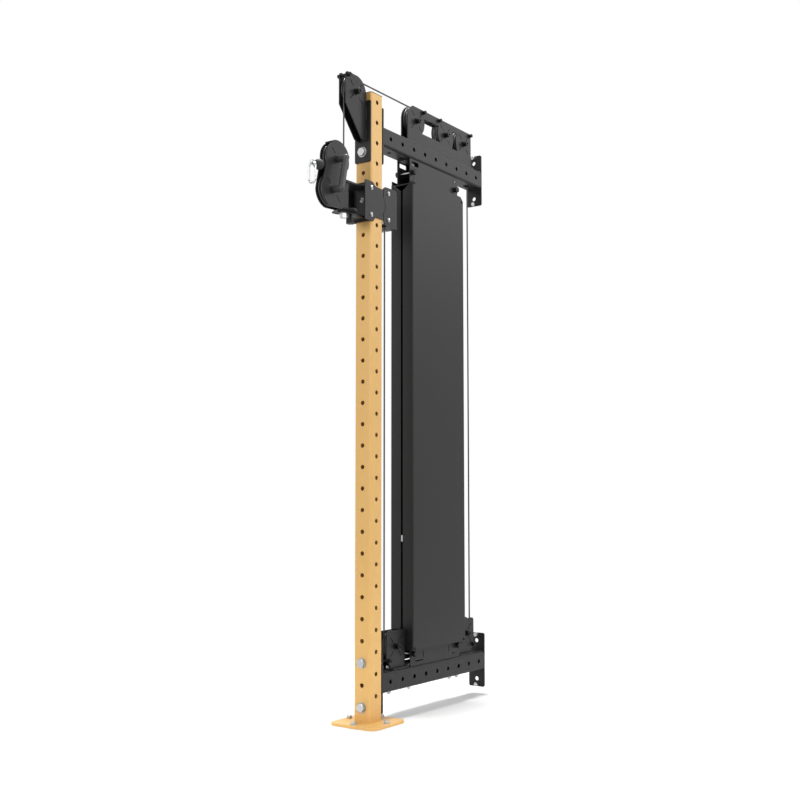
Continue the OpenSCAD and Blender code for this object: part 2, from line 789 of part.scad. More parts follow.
// Knobs on long bolts through the stack brackets, and the screws that hold the covers
module cover_knobs() {
    color(black) {
        for (s = [-1, 1], z = [knob_z_low, knob_z_high]) {
            y = stack_y + s * knob_off;
            rod_x(-bracket_w, bracket_w, y, z, 4);
            for (m = [0, 1]) mirror([m, 0, 0]) {
                rod_x(bracket_w, bracket_w + 5, y, z, 8);
                rod_x(bracket_w + 5, bracket_w + 15, y, z, knob_r);
            }
        }
        for (s = [-1, 1], z = [deck_z + deck_t / 2, cover_deck_z + deck_t / 2], m = [0, 1])
            mirror([m, 0, 0]) {
                rod_x(cover_half - cover_t, cover_half, stack_y + s * cover_screw_off, z, 2.3);
                rod_x(cover_half, cover_half + 3, stack_y + s * cover_screw_off, z, 5);
            }
    }
}

module guide_rods() {
    color(steel) for (p = rods) {
        rod_z(deck_top, cover_deck_z, p[0], p[1], rod_d / 2);
        rod_z(deck_z, cover_deck_z + deck_t, p[0], p[1], rod_neck);
    }
}

module stack_bumpers() {
    color(rubber) for (p = rods) difference() {
        rod_z(deck_top, stack_z0 - plate_gap, p[0], p[1], rod_d / 2 + 11);
        rod_z(deck_top - over, stack_z0 + over, p[0], p[1], rod_d / 2 + slack);
    }
}

// Weight plate number i, counted from the bottom of the stack
module weight_plate(i) {
    z0 = stack_z0 + i * plate_pitch;
    t = plate_pitch - plate_gap;
    difference() {
        translate([-weight_w / 2, stack_y - weight_l / 2, z0]) cube([weight_w, weight_l, t]);
        for (p = rods) rod_z(z0 - over, z0 + t + over, p[0], p[1], rod_d / 2 + 1);
        rod_z(z0 - over, z0 + t + over, 0, stack_y, stem_d / 2 + 1);
        rod_y(stack_y - weight_l / 2 - over, stack_y, 0, z0 + t / 2, pin_d / 2 + slack);
    }
}

module resting_plates() {
    color(black) for (i = [0:rest_count - 1]) weight_plate(i);
}

module lifted_plates() {
    color(black) for (i = [rest_count:plate_count - 1]) weight_plate(i);
}

module top_plate() {
    color(black) difference() {
        translate([-weight_w / 2, stack_y - weight_l / 2, top_plate_z])
            cube([weight_w, weight_l, top_plate_t]);
        for (p = rods) rod_z(top_plate_z - over, top_plate_top + over, p[0], p[1], rod_d / 2 + 5);
        rod_z(top_plate_z - over, top_plate_top + over, 0, stack_y, stem_d / 2 + 0.1);
    }
}

module guide_bushes() {
    color("white") for (p = rods) difference() {
        union() {
            rod_z(top_plate_z, top_plate_top + 4, p[0], p[1], rod_d / 2 + 4.9);
            rod_z(top_plate_top, top_plate_top + 4, p[0], p[1], rod_d / 2 + 9);
        }
        rod_z(top_plate_z - over, top_plate_top + 5, p[0], p[1], rod_d / 2 + run);
    }
}

module selector_stem() {
    low = stack_z0 + 3;
    color(steel) difference() {
        rod_z(low, top_plate_top, 0, stack_y, stem_d / 2);
        for (i = [0:plate_count - 1]) rod_y(stack_y - stem_d, stack_y + stem_d, 0,
            stack_z0 + (i + 0.5) * plate_pitch - plate_gap / 2, pin_d / 2 + slack);
    }
}

// Fork on the top plate that carries the stack pulley
module stack_clevis() {
    ear = 24;
    foot = 6;
    color(black) {
        both_sides() plate_x(plate_in, plate_t) difference() {
            polygon(concat([[stack_y - 34, top_plate_top], [stack_y + 34, top_plate_top]],
                arc([stack_y, stack_axle_z], ear, 0, 180, 16)));
            axle_hole_2d([stack_y, stack_axle_z]);
        }
        translate([-28, stack_y - 34, top_plate_top]) cube([56, 68, foot]);
    }
}

module stack_axle() {
    color(steel) axle_bolt(stack_y, stack_axle_z);
}

// Part of a cable that lies on a pulley, in the plane of Y and Z, from angle a0 over a turn
module cable_arc(y, z, a0, turn) {
    translate([0, y, z]) rotate([90, 0, 90]) rotate([0, 0, a0])
        rotate_extrude(angle = turn) translate([cable_run_r, 0]) circle(cable_r, $fn = 24);
}

module cable_z(y, z0, z1) {
    rod_z(z0, z1, 0, y, cable_r);
}

module cable_y(y0, y1, z) {
    rod_y(y0, y1, 0, z, cable_r);
}

module cable_top_run() {
    color(rubber) {
        cable_arc(front_y, top_z, 90, 90);
        cable_y(front_y, a_y, top_z + cable_run_r);
        cable_arc(a_y, top_z, 0, 90);
    }
}

module cable_rear_run() {
    color(rubber) {
        cable_arc(b_y, top_z, 90, 90);
        cable_y(b_y, c_y, top_z + cable_run_r);
        cable_arc(c_y, top_z, 0, 90);
        cable_z(rear_run_y, low_z, top_z);
        cable_arc(d_y, low_z, -90, 90);
        cable_y(e_y, d_y, low_z - cable_run_r);
        cable_arc(e_y, low_z, 180, 90);
    }
}

module cable_stack_arc() {
    color(rubber) cable_arc(stack_y, stack_axle_z, 180, 180);
}

module cable_stack_runs() {
    color(rubber) {
        cable_z(fall_y, stack_axle_z, top_z);
        cable_z(rise_y, stack_axle_z, top_z);
    }
}

// Pin with a flat pull tab that stands in the covers' slit
module selector_pin() {
    tab_front = cover_front + 0.5;
    tab_back = stack_y - weight_l / 2 - clear;
    color(steel) {
        rod_y(tab_back, stack_y + stem_d / 2, 0, pin_z, pin_d / 2);
        translate([-3.5, tab_front, pin_z - 12]) cube([7, tab_back - tab_front, 24]);
    }
}

module stack_pulley() {
    color(rubber) pulley_at(stack_y, stack_axle_z);
}

module front_pulley() {
    color(rubber) pulley_at(front_y, top_z);
}

module top_pulley_a() {
    color(rubber) pulley_at(a_y, top_z);
}

module top_pulley_b() {
    color(rubber) pulley_at(b_y, top_z);
}

module top_pulley_c() {
    color(rubber) pulley_at(c_y, top_z);
}

module lower_front_pulley() {
    color(rubber) pulley_at(e_y, low_z);
}

module lower_rear_pulley() {
    color(rubber) pulley_at(d_y, low_z);
}

// Side plate of the front half: tall at the front, with a wavy edge beside the rear half
module carriage_side_front_2d() {
    seam = half - 3.5;
    wave = 11;
    step = 18;
    difference() {
        polygon(concat(arc([-carriage_reach + 6, car_z0 + 6], 6, 180, 270, 5),
            [[-30, car_z0], [-14, car_z0 + step], [seam, car_z0 + step], [seam, car_z - 33],
            [seam + wave, car_z - 20], [seam + wave, car_z + 16], [seam, car_z + 32],
            [seam, car_z1 - step]],
            [[-4, car_z1 - step + 3]], arc([screw_front_y, car_z + screw_pitch / 2], 24, 30, 80, 6),
            arc([-carriage_reach + 6, car_z1 - 6], 6, 90, 180, 5)));
        for (s = [-1, 1]) translate([screw_front_y, car_z + s * screw_pitch / 2]) circle(3.2);
    }
}

// Side plate of the rear half
module carriage_side_rear_2d() {
    seam = half - 0.5;
    wave = 11;
    difference() {
        polygon(concat([[seam, car_z0 + 24], [seam, car_z - 32], [seam + wave, car_z - 19],
            [seam + wave, car_z + 15], [seam, car_z + 31]],
            [for (p = arc([seam + 15, car_z1 - 17], 15, 180, 90, 8)) p],
            [for (p = arc([carriage_back - 10, car_z1 - 12], 10, 90, 0, 6)) p],
            [[carriage_back, car_z0 - 4]],
            [for (p = arc([seam + 28, car_z0 + 24], 28, 270, 180, 8)) p]));
        for (s = [-1, 1]) translate([screw_rear_y, car_z + s * screw_pitch / 2]) circle(3.2);
    }
}

// Horizontal lug that holds the swivel bolt, from the web to its round end
module lug(z) {
    translate([0, 0, z]) difference() {
        linear_extrude(lug_t) {
            translate([0, pivot_y]) circle(lug_r);
            translate([-lug_r, pivot_y]) square([2 * lug_r, -web_front + over - pivot_y]);
        }
        translate([0, pivot_y, -over]) cylinder(r = pivot_d / 2 + slack, h = lug_t + 2 * over);
    }
}

module carriage_front() {
    color(black) difference() {
        union() {
            both_sides() plate_x(car_in, carriage_t) carriage_side_front_2d();
            translate([-car_in, -web_front, car_z0]) cube([2 * car_in, carriage_t, carriage_h]);
            lug(lug_low_z);
            lug(lug_high_z);
        }
        rod_z(lug_low_z - over, lug_low_z + lug_t + over, 0, pivot_y + lock_off, 5.3);
        rod_y(-web_front - over, -web_back + over, 0, car_z + 8, 3.3);
        rod_x(-car_out - over, -car_in + over, 0, pin_level, lock_pin_d / 2 + slack);
    }
}

module carriage_rear() {
    floor_z = car_z0 - 4;
    color(black) difference() {
        union() {
            both_sides() plate_x(car_in, carriage_t) carriage_side_rear_2d();
            both_sides() plate_x(car_in - carriage_t, carriage_t)
                translate([half + 1.5, car_z - 20]) square([20, 36]);
            translate([-car_in, carriage_back - carriage_t, floor_z])
                cube([2 * car_in, carriage_t, carriage_h - 8]);
            translate([-car_in, half + 22, floor_z])
                cube([2 * car_in, carriage_back - half - 22, carriage_t]);
        }
        rod_z(floor_z - over, floor_z + carriage_t + over, 0, anchor_y, 7.2);
    }
}

// Screw head on a side plate, with its shank running a depth in past the plate
module side_screw(y, z, depth) {
    both_sides() {
        rod_x(car_in - depth, car_out, y, z, screw_r);
        rod_x(car_out, car_out + 1.5, y, z, 8);
        rod_x(car_out + 1.5, car_out + 6, y, z, 5);
    }
}

module carriage_screws() {
    color(steel) {
        for (s = [-1, 1]) {
            side_screw(screw_front_y, car_z + s * screw_pitch / 2, 0);
            side_screw(screw_rear_y, car_z + s * screw_pitch / 2, screw_depth);
        }
        rod_y(-web_front, -web_back, 0, car_z + 8, screw_r);
        rod_y(-web_front - 6, -web_front, 0, car_z + 8, 6.5);
    }
}

// Slippery pads in front of the upright and blocks behind it
module carriage_glides() {
    pad_t = web_back - half - clear;
    block_l = screw_rear_y + 12 - half - clear;
    color("white") for (s = [-1, 1]) {
        z = car_z + s * screw_pitch / 2;
        translate([-car_in, -web_back, z - 14]) cube([2 * car_in, pad_t, 28]);
        difference() {
            translate([-car_in, half + clear, z - 14]) cube([2 * car_in, block_l, 28]);
            for (m = [-1, 1]) rod_x(m * car_in - screw_depth, m * car_in + screw_depth, screw_rear_y, z,
                screw_r + run);
        }
    }
}

// Ferrule and nut that hold the cable's end on the carriage's floor
module cable_anchor() {
    floor_z = car_z0 - 4;
    color(steel) {
        rod_z(floor_z - 4, floor_z + 34, 0, anchor_y, 7);
        translate([0, anchor_y, floor_z + carriage_t]) cylinder(d = 22 / cos(30), h = 9, $fn = 6);
    }
}

module pivot_bolt() {
    top = lug_high_z + lug_t;
    color(steel) {
        rod_z(lug_low_z, top, 0, pivot_y, pivot_d / 2);
        translate([0, pivot_y, top]) cylinder(d = 24 / cos(30), h = 8, $fn = 6);
        translate([0, pivot_y, lug_low_z]) mirror([0, 0, 1]) hex_head(24, 15, 14);
    }
}

// Barrel of the spring pin on the carriage's left side
module pop_pin_housing() {
    color(steel) difference() {
        union() {
            rod_x(-car_out - housing_l, -car_out, 0, pin_level, 12);
            translate([-car_out - 8, 0, pin_level]) rotate([0, 90, 0])
                cylinder(d = 32, h = 8, $fn = 6);
        }
        rod_x(-car_out - housing_l - over, -car_out + over, 0, pin_level, lock_pin_d / 2 + run);
    }
}

// Spring pin, pulled out and parked, so that the carriage can slide
module pop_pin() {
    tip = -half - 1;
    taper = 1.5;
    bar_r = 7;
    tail = -car_out - housing_l - pin_throw - bar_r - 1;
    color(steel) {
        rod_x(tail, tip - taper, 0, pin_level, lock_pin_d / 2);
        translate([tip - taper, 0, pin_level]) rotate([0, 90, 0])
            cylinder(r1 = lock_pin_d / 2, r2 = lock_pin_d / 2 - taper, h = taper);
        rod_z(pin_level - 32, pin_level + 32, tail, 0, bar_r);
    }
}

module cable_front_run() {
    color(rubber) cable_z(pivot_y, arm_uz, top_z);
}

module cable_anchor_run() {
    color(rubber) cable_z(anchor_y, low_z, car_z0 - 8);
}

// Side plate of the arm: round the two pulleys, with a hinge flange and a notch for the lug
module arm_plate_2d() {
    lean = 90 - atan2(arm_uz - arm_lz, arm_uy - arm_ly);
    hinge_y = pivot_y + 9;
    inner = pivot_y - 25;
    tail_a = 262;
    difference() {
        polygon(concat(arc([arm_uy, arm_uz], arm_edge, -20, 180 + lean - 4, 22),
            arc([arm_ly, arm_lz], arm_edge, 180 + lean - 8, tail_a, 14),
            [[hinge_y, index_z + index_t / 2], [hinge_y, barrel_top - 4], [inner, barrel_top - 4],
            [inner, lug_high_z + lug_t + 12]]));
        for (c = [[arm_uy, arm_uz], [arm_ly, arm_lz]]) axle_hole_2d(c);
        translate([arm_uy, arm_uz]) rotate(135) translate([23.5, -slit_cut / 2]) square([28.5, slit_cut]);
        translate([arm_ly, arm_lz]) for (a = [135, -45]) rotate(a)
            translate([23.5, -slit_cut / 2]) square([28.5, slit_cut]);
    }
}

// Index plate under the barrel: half a disc with a hole for every fifteen degrees
module index_plate() {
    translate([0, pivot_y, index_z]) difference() {
        linear_extrude(index_t) polygon(concat(arc([0, 0], index_r, -4, 184, 40),
            arc([0, 0], index_front_r, 225, 315, 12)));
        for (a = [0:15:180]) rotate(a) translate([lock_off, 0, -over])
            cylinder(r = 5.4, h = index_t + 2 * over, $fn = 24);
    }
}

// Curved guard over the upper pulley, slotted for the cable
module arm_guard() {
    r0 = arm_edge - 1;
    r1 = arm_edge + 5;
    difference() {
        plate_x(-plate_out, 2 * plate_out)
            polygon(concat(arc([arm_uy, arm_uz], r1, 22, 120, 18), arc([arm_uy, arm_uz], r0, 120, 22, 18)));
        translate([-6, pivot_y - 8, arm_uz]) cube([12, 40, arm_edge + 10]);
    }
}

module swing_arm() {
    color(black) difference() {
        union() {
            both_sides() plate_x(plate_in, plate_t) arm_plate_2d();
            index_plate();
            rod_z(index_z + index_t / 2, barrel_top, 0, pivot_y, barrel_r);
            arm_guard();
        }
        rod_z(index_z - over, barrel_top + over, 0, pivot_y, pivot_d / 2 + run);
    }
}

// Handle on the arm's right side, bolted at both pulley axles
module grab_handle() {
    x = plate_out + grip_reach;
    reach = grip_d / 2;
    tilt = atan2(arm_uy - arm_ly, arm_uz - arm_lz);
    color(rubber) difference() {
        union() {
            for (c = [[arm_uy, arm_uz], [arm_ly, arm_lz]]) {
                rod_x(plate_out, x, c[0], c[1], reach + 1);
                translate([x, c[0], c[1]]) sphere(reach + 1);
            }
            translate([x, arm_ly, arm_lz]) rotate([-tilt, 0, 0]) cylinder(r = reach, h = arm_c);
        }
        for (c = [[arm_uy, arm_uz], [arm_ly, arm_lz]])
            rod_x(plate_out - over, plate_out + 22, c[0], c[1], axle_d / 2 + run);
    }
}

// Axle bolts of the arm, screwed into the handle
module arm_axles() {
    color(black) for (c = [[arm_uy, arm_uz], [arm_ly, arm_lz]]) {
        rod_x(-plate_out, plate_out + 21, c[0], c[1], axle_d / 2);
        rod_x(-plate_out - washer_t, -plate_out, c[0], c[1], head_r + 2.5);
        rod_x(-plate_out - washer_t - nut_t, -plate_out - washer_t, c[0], c[1], head_r);
    }
}

module cable_arm_arc() {
    color(rubber) cable_arc(arm_uy, arm_uz, leave_a, -leave_a);
}

module cable_handle_run() {
    reach = norm([ball_y - leave_y, ball_z - leave_z]) - ball_r;
    color(rubber) translate([0, leave_y, leave_z])
        rotate([180 + leave_a, 0, 0]) cylinder(r = cable_r, h = reach);
}

module arm_upper_pulley() {
    color(rubber) pulley_at(arm_uy, arm_uz);
}

module arm_lower_pulley() {
    color(rubber) pulley_at(arm_ly, arm_lz);
}

// Spring pin under the lower lug that can lock the arm's direction, with a star knob
module swivel_pin() {
    top = index_z - clear - 0.5;
    knob_top = lug_low_z - 9;
    color(black) translate([0, pivot_y + lock_off, 0]) {
        rod_z(knob_top - 4, top, 0, 0, 5);
        difference() {
            rod_z(knob_top - 22, knob_top, 0, 0, 16);
            for (a = [0:60:300]) rotate(a) rod_z(knob_top - 23, knob_top + 1, 19, 0, 5.5);
        }
    }
}

module ball_stop() {
    flat_a = acos((ball_r - ball_flat) / ball_r);
    color(rubber) translate([0, ball_y, ball_z]) rotate([90, 0, 0]) rotate_extrude()
        polygon(concat(arc([0, 0], ball_r, -90, 90 - flat_a, 24), [[0, ball_r - ball_flat]]));
}

// Swivel on the ball's flat, with an eye for the carabiner
module swivel_eye() {
    front = ball_y - ball_r + ball_flat;
    color(steel) {
        rod_y(eye_y + eye_r, front, 0, ball_z, 6.5);
        translate([0, eye_y, ball_z]) rotate([0, 90, 0])
            rotate_extrude() translate([eye_r, 0]) circle(eye_wire, $fn = 24);
    }
}

// Half ring of the carabiner's wire, in the plane of X and Z
module hook_arch(z, a0) {
    translate([0, eye_y, z]) rotate([90, 0, 0]) rotate([0, 0, a0]) rotate_extrude(angle = 180)
        translate([hook_r, 0]) circle(hook_d / 2, $fn = 24);
}

// Bent wire hook, open on its right side for the gate
module carabiner() {
    color(steel) {
        hook_arch(hook_arch_z, 0);
        hook_arch(hook_bow_z, 180);
        rod_z(hook_bow_z, hook_arch_z, -hook_r, eye_y, hook_d / 2);
        rod_z(hook_bow_z, gate_z, hook_r, eye_y, hook_d / 2);
    }
}

// Straight gate with a round foot, so that it can turn on the carabiner's stub
module carabiner_gate() {
    color(steel) translate([hook_r, eye_y, gate_foot_z]) rotate_extrude()
        polygon(concat(arc([0, 0], gate_r, -90, 0, 12), [[gate_r, gate_l], [0, gate_l]]));
}

upright();
foot_plate();
upright_cap();
frame_bolts();
upper_beam();
lower_beam();
front_bracket();
top_bracket();
lower_front_bracket();
lower_rear_bracket();
pulley_axles();
bracket_spacers();
upper_stack_bracket();
lower_stack_bracket();
left_cover();
right_cover();
cover_knobs();
guide_rods();
stack_bumpers();
resting_plates();
cable_top_run();
cable_rear_run();
lifted_plates();
top_plate();
guide_bushes();
selector_stem();
stack_clevis();
stack_axle();
cable_stack_arc();
cable_stack_runs();
selector_pin();
stack_pulley();
front_pulley();
top_pulley_a();
top_pulley_b();
top_pulley_c();
lower_front_pulley();
lower_rear_pulley();
carriage_front();
carriage_rear();
carriage_screws();
carriage_glides();
cable_anchor();
pivot_bolt();
pop_pin_housing();
pop_pin();
cable_front_run();
cable_anchor_run();
swing_arm();
grab_handle();
arm_axles();
cable_arm_arc();
cable_handle_run();
swivel_pin();
arm_upper_pulley();
arm_lower_pulley();
ball_stop();
swivel_eye();
carabiner();
carabiner_gate();
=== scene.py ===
import json
import math

import bmesh
import bpy
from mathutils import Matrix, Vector


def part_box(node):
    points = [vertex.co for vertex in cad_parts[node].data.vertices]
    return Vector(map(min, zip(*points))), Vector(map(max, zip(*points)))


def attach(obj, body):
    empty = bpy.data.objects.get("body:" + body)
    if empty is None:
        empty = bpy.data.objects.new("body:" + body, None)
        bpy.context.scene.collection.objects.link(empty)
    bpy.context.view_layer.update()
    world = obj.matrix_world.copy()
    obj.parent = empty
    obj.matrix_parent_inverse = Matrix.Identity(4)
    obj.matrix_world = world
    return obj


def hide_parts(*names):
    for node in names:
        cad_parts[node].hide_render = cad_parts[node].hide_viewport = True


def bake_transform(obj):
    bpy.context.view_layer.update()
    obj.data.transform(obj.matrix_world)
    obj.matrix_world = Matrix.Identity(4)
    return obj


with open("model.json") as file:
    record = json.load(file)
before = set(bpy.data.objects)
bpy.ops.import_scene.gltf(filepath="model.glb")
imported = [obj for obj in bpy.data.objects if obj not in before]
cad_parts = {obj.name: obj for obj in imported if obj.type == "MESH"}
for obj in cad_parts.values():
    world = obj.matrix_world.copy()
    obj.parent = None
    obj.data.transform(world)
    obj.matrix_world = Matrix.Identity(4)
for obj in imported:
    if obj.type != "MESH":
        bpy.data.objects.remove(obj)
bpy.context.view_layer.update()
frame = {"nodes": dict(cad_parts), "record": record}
scene = bpy.context.scene
packed = frame["nodes"]

# Studio: a white floor that fades into a white room, soft lamps on the right, in front,
# overhead and behind, and a camera at the photograph's height, angle and lens.
camera = bpy.data.objects.new("camera", bpy.data.cameras.new("camera"))
scene.collection.objects.link(camera)
camera_turn, camera_rise = math.radians(35.06), math.radians(5.02)
camera.data.lens, camera.data.sensor_width = 50, 36
camera.location = (2.4982, -3.3535, 0.8293)
gaze = Vector((-math.sin(camera_turn) * math.cos(camera_rise),
               math.cos(camera_turn) * math.cos(camera_rise), math.sin(camera_rise)))
camera.rotation_mode = "QUATERNION"
camera.rotation_quaternion = gaze.to_track_quat("-Z", "Y")
scene.camera = camera
scene.view_settings.view_transform = "Standard"

white, room_light = (1, 1, 1, 1), 0.36
room = bpy.data.worlds.new("white_room")
scene.world = room
room.use_nodes = True
air = room.node_tree.nodes
air.clear()
sky = air.new("ShaderNodeBackground")
sky.inputs["Color"].default_value = white
sky.inputs["Strength"].default_value = room_light
backdrop = air.new("ShaderNodeBackground")
backdrop.inputs["Color"].default_value = white
ray = air.new("ShaderNodeLightPath")
seen_or_glossy = air.new("ShaderNodeMath")
seen_or_glossy.operation = "MAXIMUM"
or_through_glass = air.new("ShaderNodeMath")
or_through_glass.operation = "MAXIMUM"
pick = air.new("ShaderNodeMixShader")
room_out = air.new("ShaderNodeOutputWorld")
air_link = room.node_tree.links.new
air_link(ray.outputs["Is Camera Ray"], seen_or_glossy.inputs[0])
air_link(ray.outputs["Is Glossy Ray"], seen_or_glossy.inputs[1])
air_link(seen_or_glossy.outputs[0], or_through_glass.inputs[0])
air_link(ray.outputs["Is Transmission Ray"], or_through_glass.inputs[1])
air_link(or_through_glass.outputs[0], pick.inputs["Fac"])
air_link(sky.outputs[0], pick.inputs[1])
air_link(backdrop.outputs[0], pick.inputs[2])
air_link(pick.outputs[0], room_out.inputs["Surface"])


def softbox(name, place, aim, side, watts):
    lamp = bpy.data.lights.new(name, "AREA")
    lamp.shape, lamp.size, lamp.size_y, lamp.energy = "RECTANGLE", side, side, watts
    stand = bpy.data.objects.new(name, lamp)
    scene.collection.objects.link(stand)
    stand.location = place
    stand.rotation_mode = "QUATERNION"
    stand.rotation_quaternion = (Vector(aim) - Vector(place)).to_track_quat("-Z", "Y")


softbox("right_softbox", (3.6, 0.2, 3.2), (0, 0.4, 1.3), 2.6, 82)
softbox("front_softbox", (-0.6, -4.4, 2.4), (0, 0, 1.2), 2.4, 88)
softbox("overhead_softbox", (-0.15, 0.45, 4.6), (0, 0.45, 0), 0.7, 205)
softbox("rear_softbox", (2.8, 4.4, 3.8), (0, 0.4, 1.9), 1.6, 24)

floor_radius, floor_z, floor_glow = 9, -0.0006, 0.03
shadow_middle, fade_from, fade_to = (0, 0.45, 0), 0.7, 2.2
bpy.ops.mesh.primitive_circle_add(vertices=96, radius=floor_radius, fill_type="NGON",
                                  location=(0, 0, floor_z))
floor = bpy.context.object
floor.name = "floor"
floor_paint = bpy.data.materials.new("floor_white")
floor_paint.use_nodes = True
paint = floor_paint.node_tree
paint.nodes.clear()
matte = paint.nodes.new("ShaderNodeBsdfDiffuse")
matte.inputs["Color"].default_value = (0.9, 0.9, 0.9, 1)
lift = paint.nodes.new("ShaderNodeEmission")
lift.inputs["Color"].default_value = white
lift.inputs["Strength"].default_value = floor_glow
both = paint.nodes.new("ShaderNodeAddShader")
fade = paint.nodes.new("ShaderNodeBsdfTransparent")
place_in = paint.nodes.new("ShaderNodeTexCoord")
from_middle = paint.nodes.new("ShaderNodeVectorMath")
from_middle.operation = "SUBTRACT"
from_middle.inputs[1].default_value = shadow_middle
reach = paint.nodes.new("ShaderNodeVectorMath")
reach.operation = "LENGTH"
rim_fade = paint.nodes.new("ShaderNodeMapRange")
rim_fade.interpolation_type = "SMOOTHSTEP"
rim_fade.inputs["From Min"].default_value = fade_from
rim_fade.inputs["From Max"].default_value = fade_to
blend = paint.nodes.new("ShaderNodeMixShader")
floor_out = paint.nodes.new("ShaderNodeOutputMaterial")
floor_link = paint.links.new
floor_link(place_in.outputs["Object"], from_middle.inputs[0])
floor_link(from_middle.outputs["Vector"], reach.inputs[0])
floor_link(reach.outputs["Value"], rim_fade.inputs["Value"])
floor_link(rim_fade.outputs["Result"], blend.inputs["Fac"])
floor_link(matte.outputs[0], both.inputs[0])
floor_link(lift.outputs[0], both.inputs[1])
floor_link(both.outputs[0], blend.inputs[1])
floor_link(fade.outputs[0], blend.inputs[2])
floor_link(blend.outputs[0], floor_out.inputs["Surface"])
floor.data.materials.append(floor_paint)

# Foot plate and upright: laser-cut plate and square steel tube, welded together and
# sprayed with a gold powder coat, which dries to a fine even peel.


def powder_coat(name, colour, gloss, grain=900, depth=0.00006, mirror=0.5):
    """Sprayed and baked coat: fine peel in the bump, faint drift in the colour."""
    thin, thick = 0.95, 1.05
    coat = bpy.data.materials.new(name)
    coat.use_nodes = True
    tree = coat.node_tree
    skin = tree.nodes["Principled BSDF"]
    skin.inputs["Roughness"].default_value = gloss
    skin.inputs["Specular IOR Level"].default_value = mirror
    where = tree.nodes.new("ShaderNodeTexCoord")
    peel = tree.nodes.new("ShaderNodeTexNoise")
    peel.inputs["Scale"].default_value = grain
    peel.inputs["Detail"].default_value = 2
    drift = tree.nodes.new("ShaderNodeTexNoise")
    drift.inputs["Scale"].default_value = 2.3
    drift.inputs["Detail"].default_value = 3
    shade = tree.nodes.new("ShaderNodeMix")
    shade.data_type = "RGBA"
    shade.inputs["A"].default_value = (*[c * thin for c in colour], 1)
    shade.inputs["B"].default_value = (*[min(1, c * thick) for c in colour], 1)
    bump = tree.nodes.new("ShaderNodeBump")
    bump.inputs["Distance"].default_value = depth
    bump.inputs["Strength"].default_value = 0.5
    link = tree.links.new
    link(where.outputs["Object"], peel.inputs["Vector"])
    link(where.outputs["Object"], drift.inputs["Vector"])
    link(drift.outputs["Fac"], shade.inputs["Factor"])
    link(shade.outputs["Result"], skin.inputs["Base Color"])
    link(peel.outputs["Fac"], bump.inputs["Height"])
    link(bump.outputs["Normal"], skin.inputs["Normal"])
    return coat


def body_of(node):
    return next(b for b, nodes in frame["record"]["behaviour"]["bodies"].items() if node in nodes)


def deburred(node, coat, edge=0.0006, segments=2):
    """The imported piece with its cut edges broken, as it leaves the deburring brush."""
    same_point, flat_turn, edge_turn = 0.000002, math.radians(0.8), math.radians(35)
    mesh = packed[node].data.copy()
    piece = bpy.data.objects.new(node + "_made", mesh)
    scene.collection.objects.link(piece)
    work = bmesh.new()
    work.from_mesh(mesh)
    bmesh.ops.remove_doubles(work, verts=work.verts, dist=same_point)
    bmesh.ops.dissolve_limit(work, angle_limit=flat_turn, verts=work.verts, edges=work.edges)
    work.to_mesh(mesh)
    work.free()
    mesh.materials.clear()
    mesh.materials.append(coat)
    mesh.shade_smooth()
    mesh.set_sharp_from_angle(angle=edge_turn)
    if edge:
        brush = piece.modifiers.new("broken_edges", "BEVEL")
        brush.width, brush.segments = edge, segments
        brush.limit_method, brush.angle_limit = "ANGLE", edge_turn
        flats = piece.modifiers.new("flat_faces", "WEIGHTED_NORMAL")
        flats.weight, flats.keep_sharp = 100, True
    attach(piece, body_of(node))
    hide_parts(node)
    return piece


gold = powder_coat("gold_powder_coat", (0.79, 0.475, 0.153), gloss=0.42)
deburred("foot_plate", gold, edge=0.0009)
deburred("upright", gold, edge=0.0004)

# End cap: a moulded plastic plug pushed into the top of the upright,
# with the light grain of a textured mould.


def moulded(name, colour, gloss, grain=420, depth=0.0001, mirror=0.5):
    """Moulded plastic or rubber: a fine even mould grain and no metal under it."""
    polished, worn = gloss - 0.06, gloss + 0.08
    plastic = bpy.data.materials.new(name)
    plastic.use_nodes = True
    tree = plastic.node_tree
    skin = tree.nodes["Principled BSDF"]
    skin.inputs["Base Color"].default_value = (*colour, 1)
    skin.inputs["Specular IOR Level"].default_value = mirror
    where = tree.nodes.new("ShaderNodeTexCoord")
    dimple = tree.nodes.new("ShaderNodeTexVoronoi")
    dimple.inputs["Scale"].default_value = grain
    bump = tree.nodes.new("ShaderNodeBump")
    bump.inputs["Distance"].default_value = depth
    bump.inputs["Strength"].default_value = 0.5
    handled = tree.nodes.new("ShaderNodeTexNoise")
    handled.inputs["Scale"].default_value = 30
    sheen = tree.nodes.new("ShaderNodeMapRange")
    sheen.inputs["To Min"].default_value = polished
    sheen.inputs["To Max"].default_value = worn
    link = tree.links.new
    link(where.outputs["Object"], dimple.inputs["Vector"])
    link(where.outputs["Object"], handled.inputs["Vector"])
    link(dimple.outputs["Distance"], bump.inputs["Height"])
    link(handled.outputs["Fac"], sheen.inputs["Value"])
    link(sheen.outputs["Result"], skin.inputs["Roughness"])
    link(bump.outputs["Normal"], skin.inputs["Normal"])
    return plastic


cap_plastic = moulded("cap_plastic", (0.011, 0.011, 0.0115), gloss=0.5, mirror=0.26)
deburred("upright_cap", cap_plastic, edge=0.0003, segments=1)

# Beams: square tube with a flange for the upright at one end and a wall plate at the
# other, welded across the top and bottom of the tube and coated black.
black = powder_coat("black_powder_coat", (0.012, 0.012, 0.0125), gloss=0.44, grain=700,
                    depth=0.00010, mirror=0.28)
deburred("lower_beam", black, edge=0.0005)
deburred("upper_beam", black, edge=0.0005)


def figure(tree, how, first, second):
    """Two sizes of a node tree brought together; each is a socket or a number."""
    step = tree.nodes.new("ShaderNodeMath")
    step.operation = how
    for socket, value in zip(step.inputs, (first, second)):
        if isinstance(value, bpy.types.NodeSocket):
            tree.links.new(value, socket)
        else:
            socket.default_value = value
    return step.outputs[0]


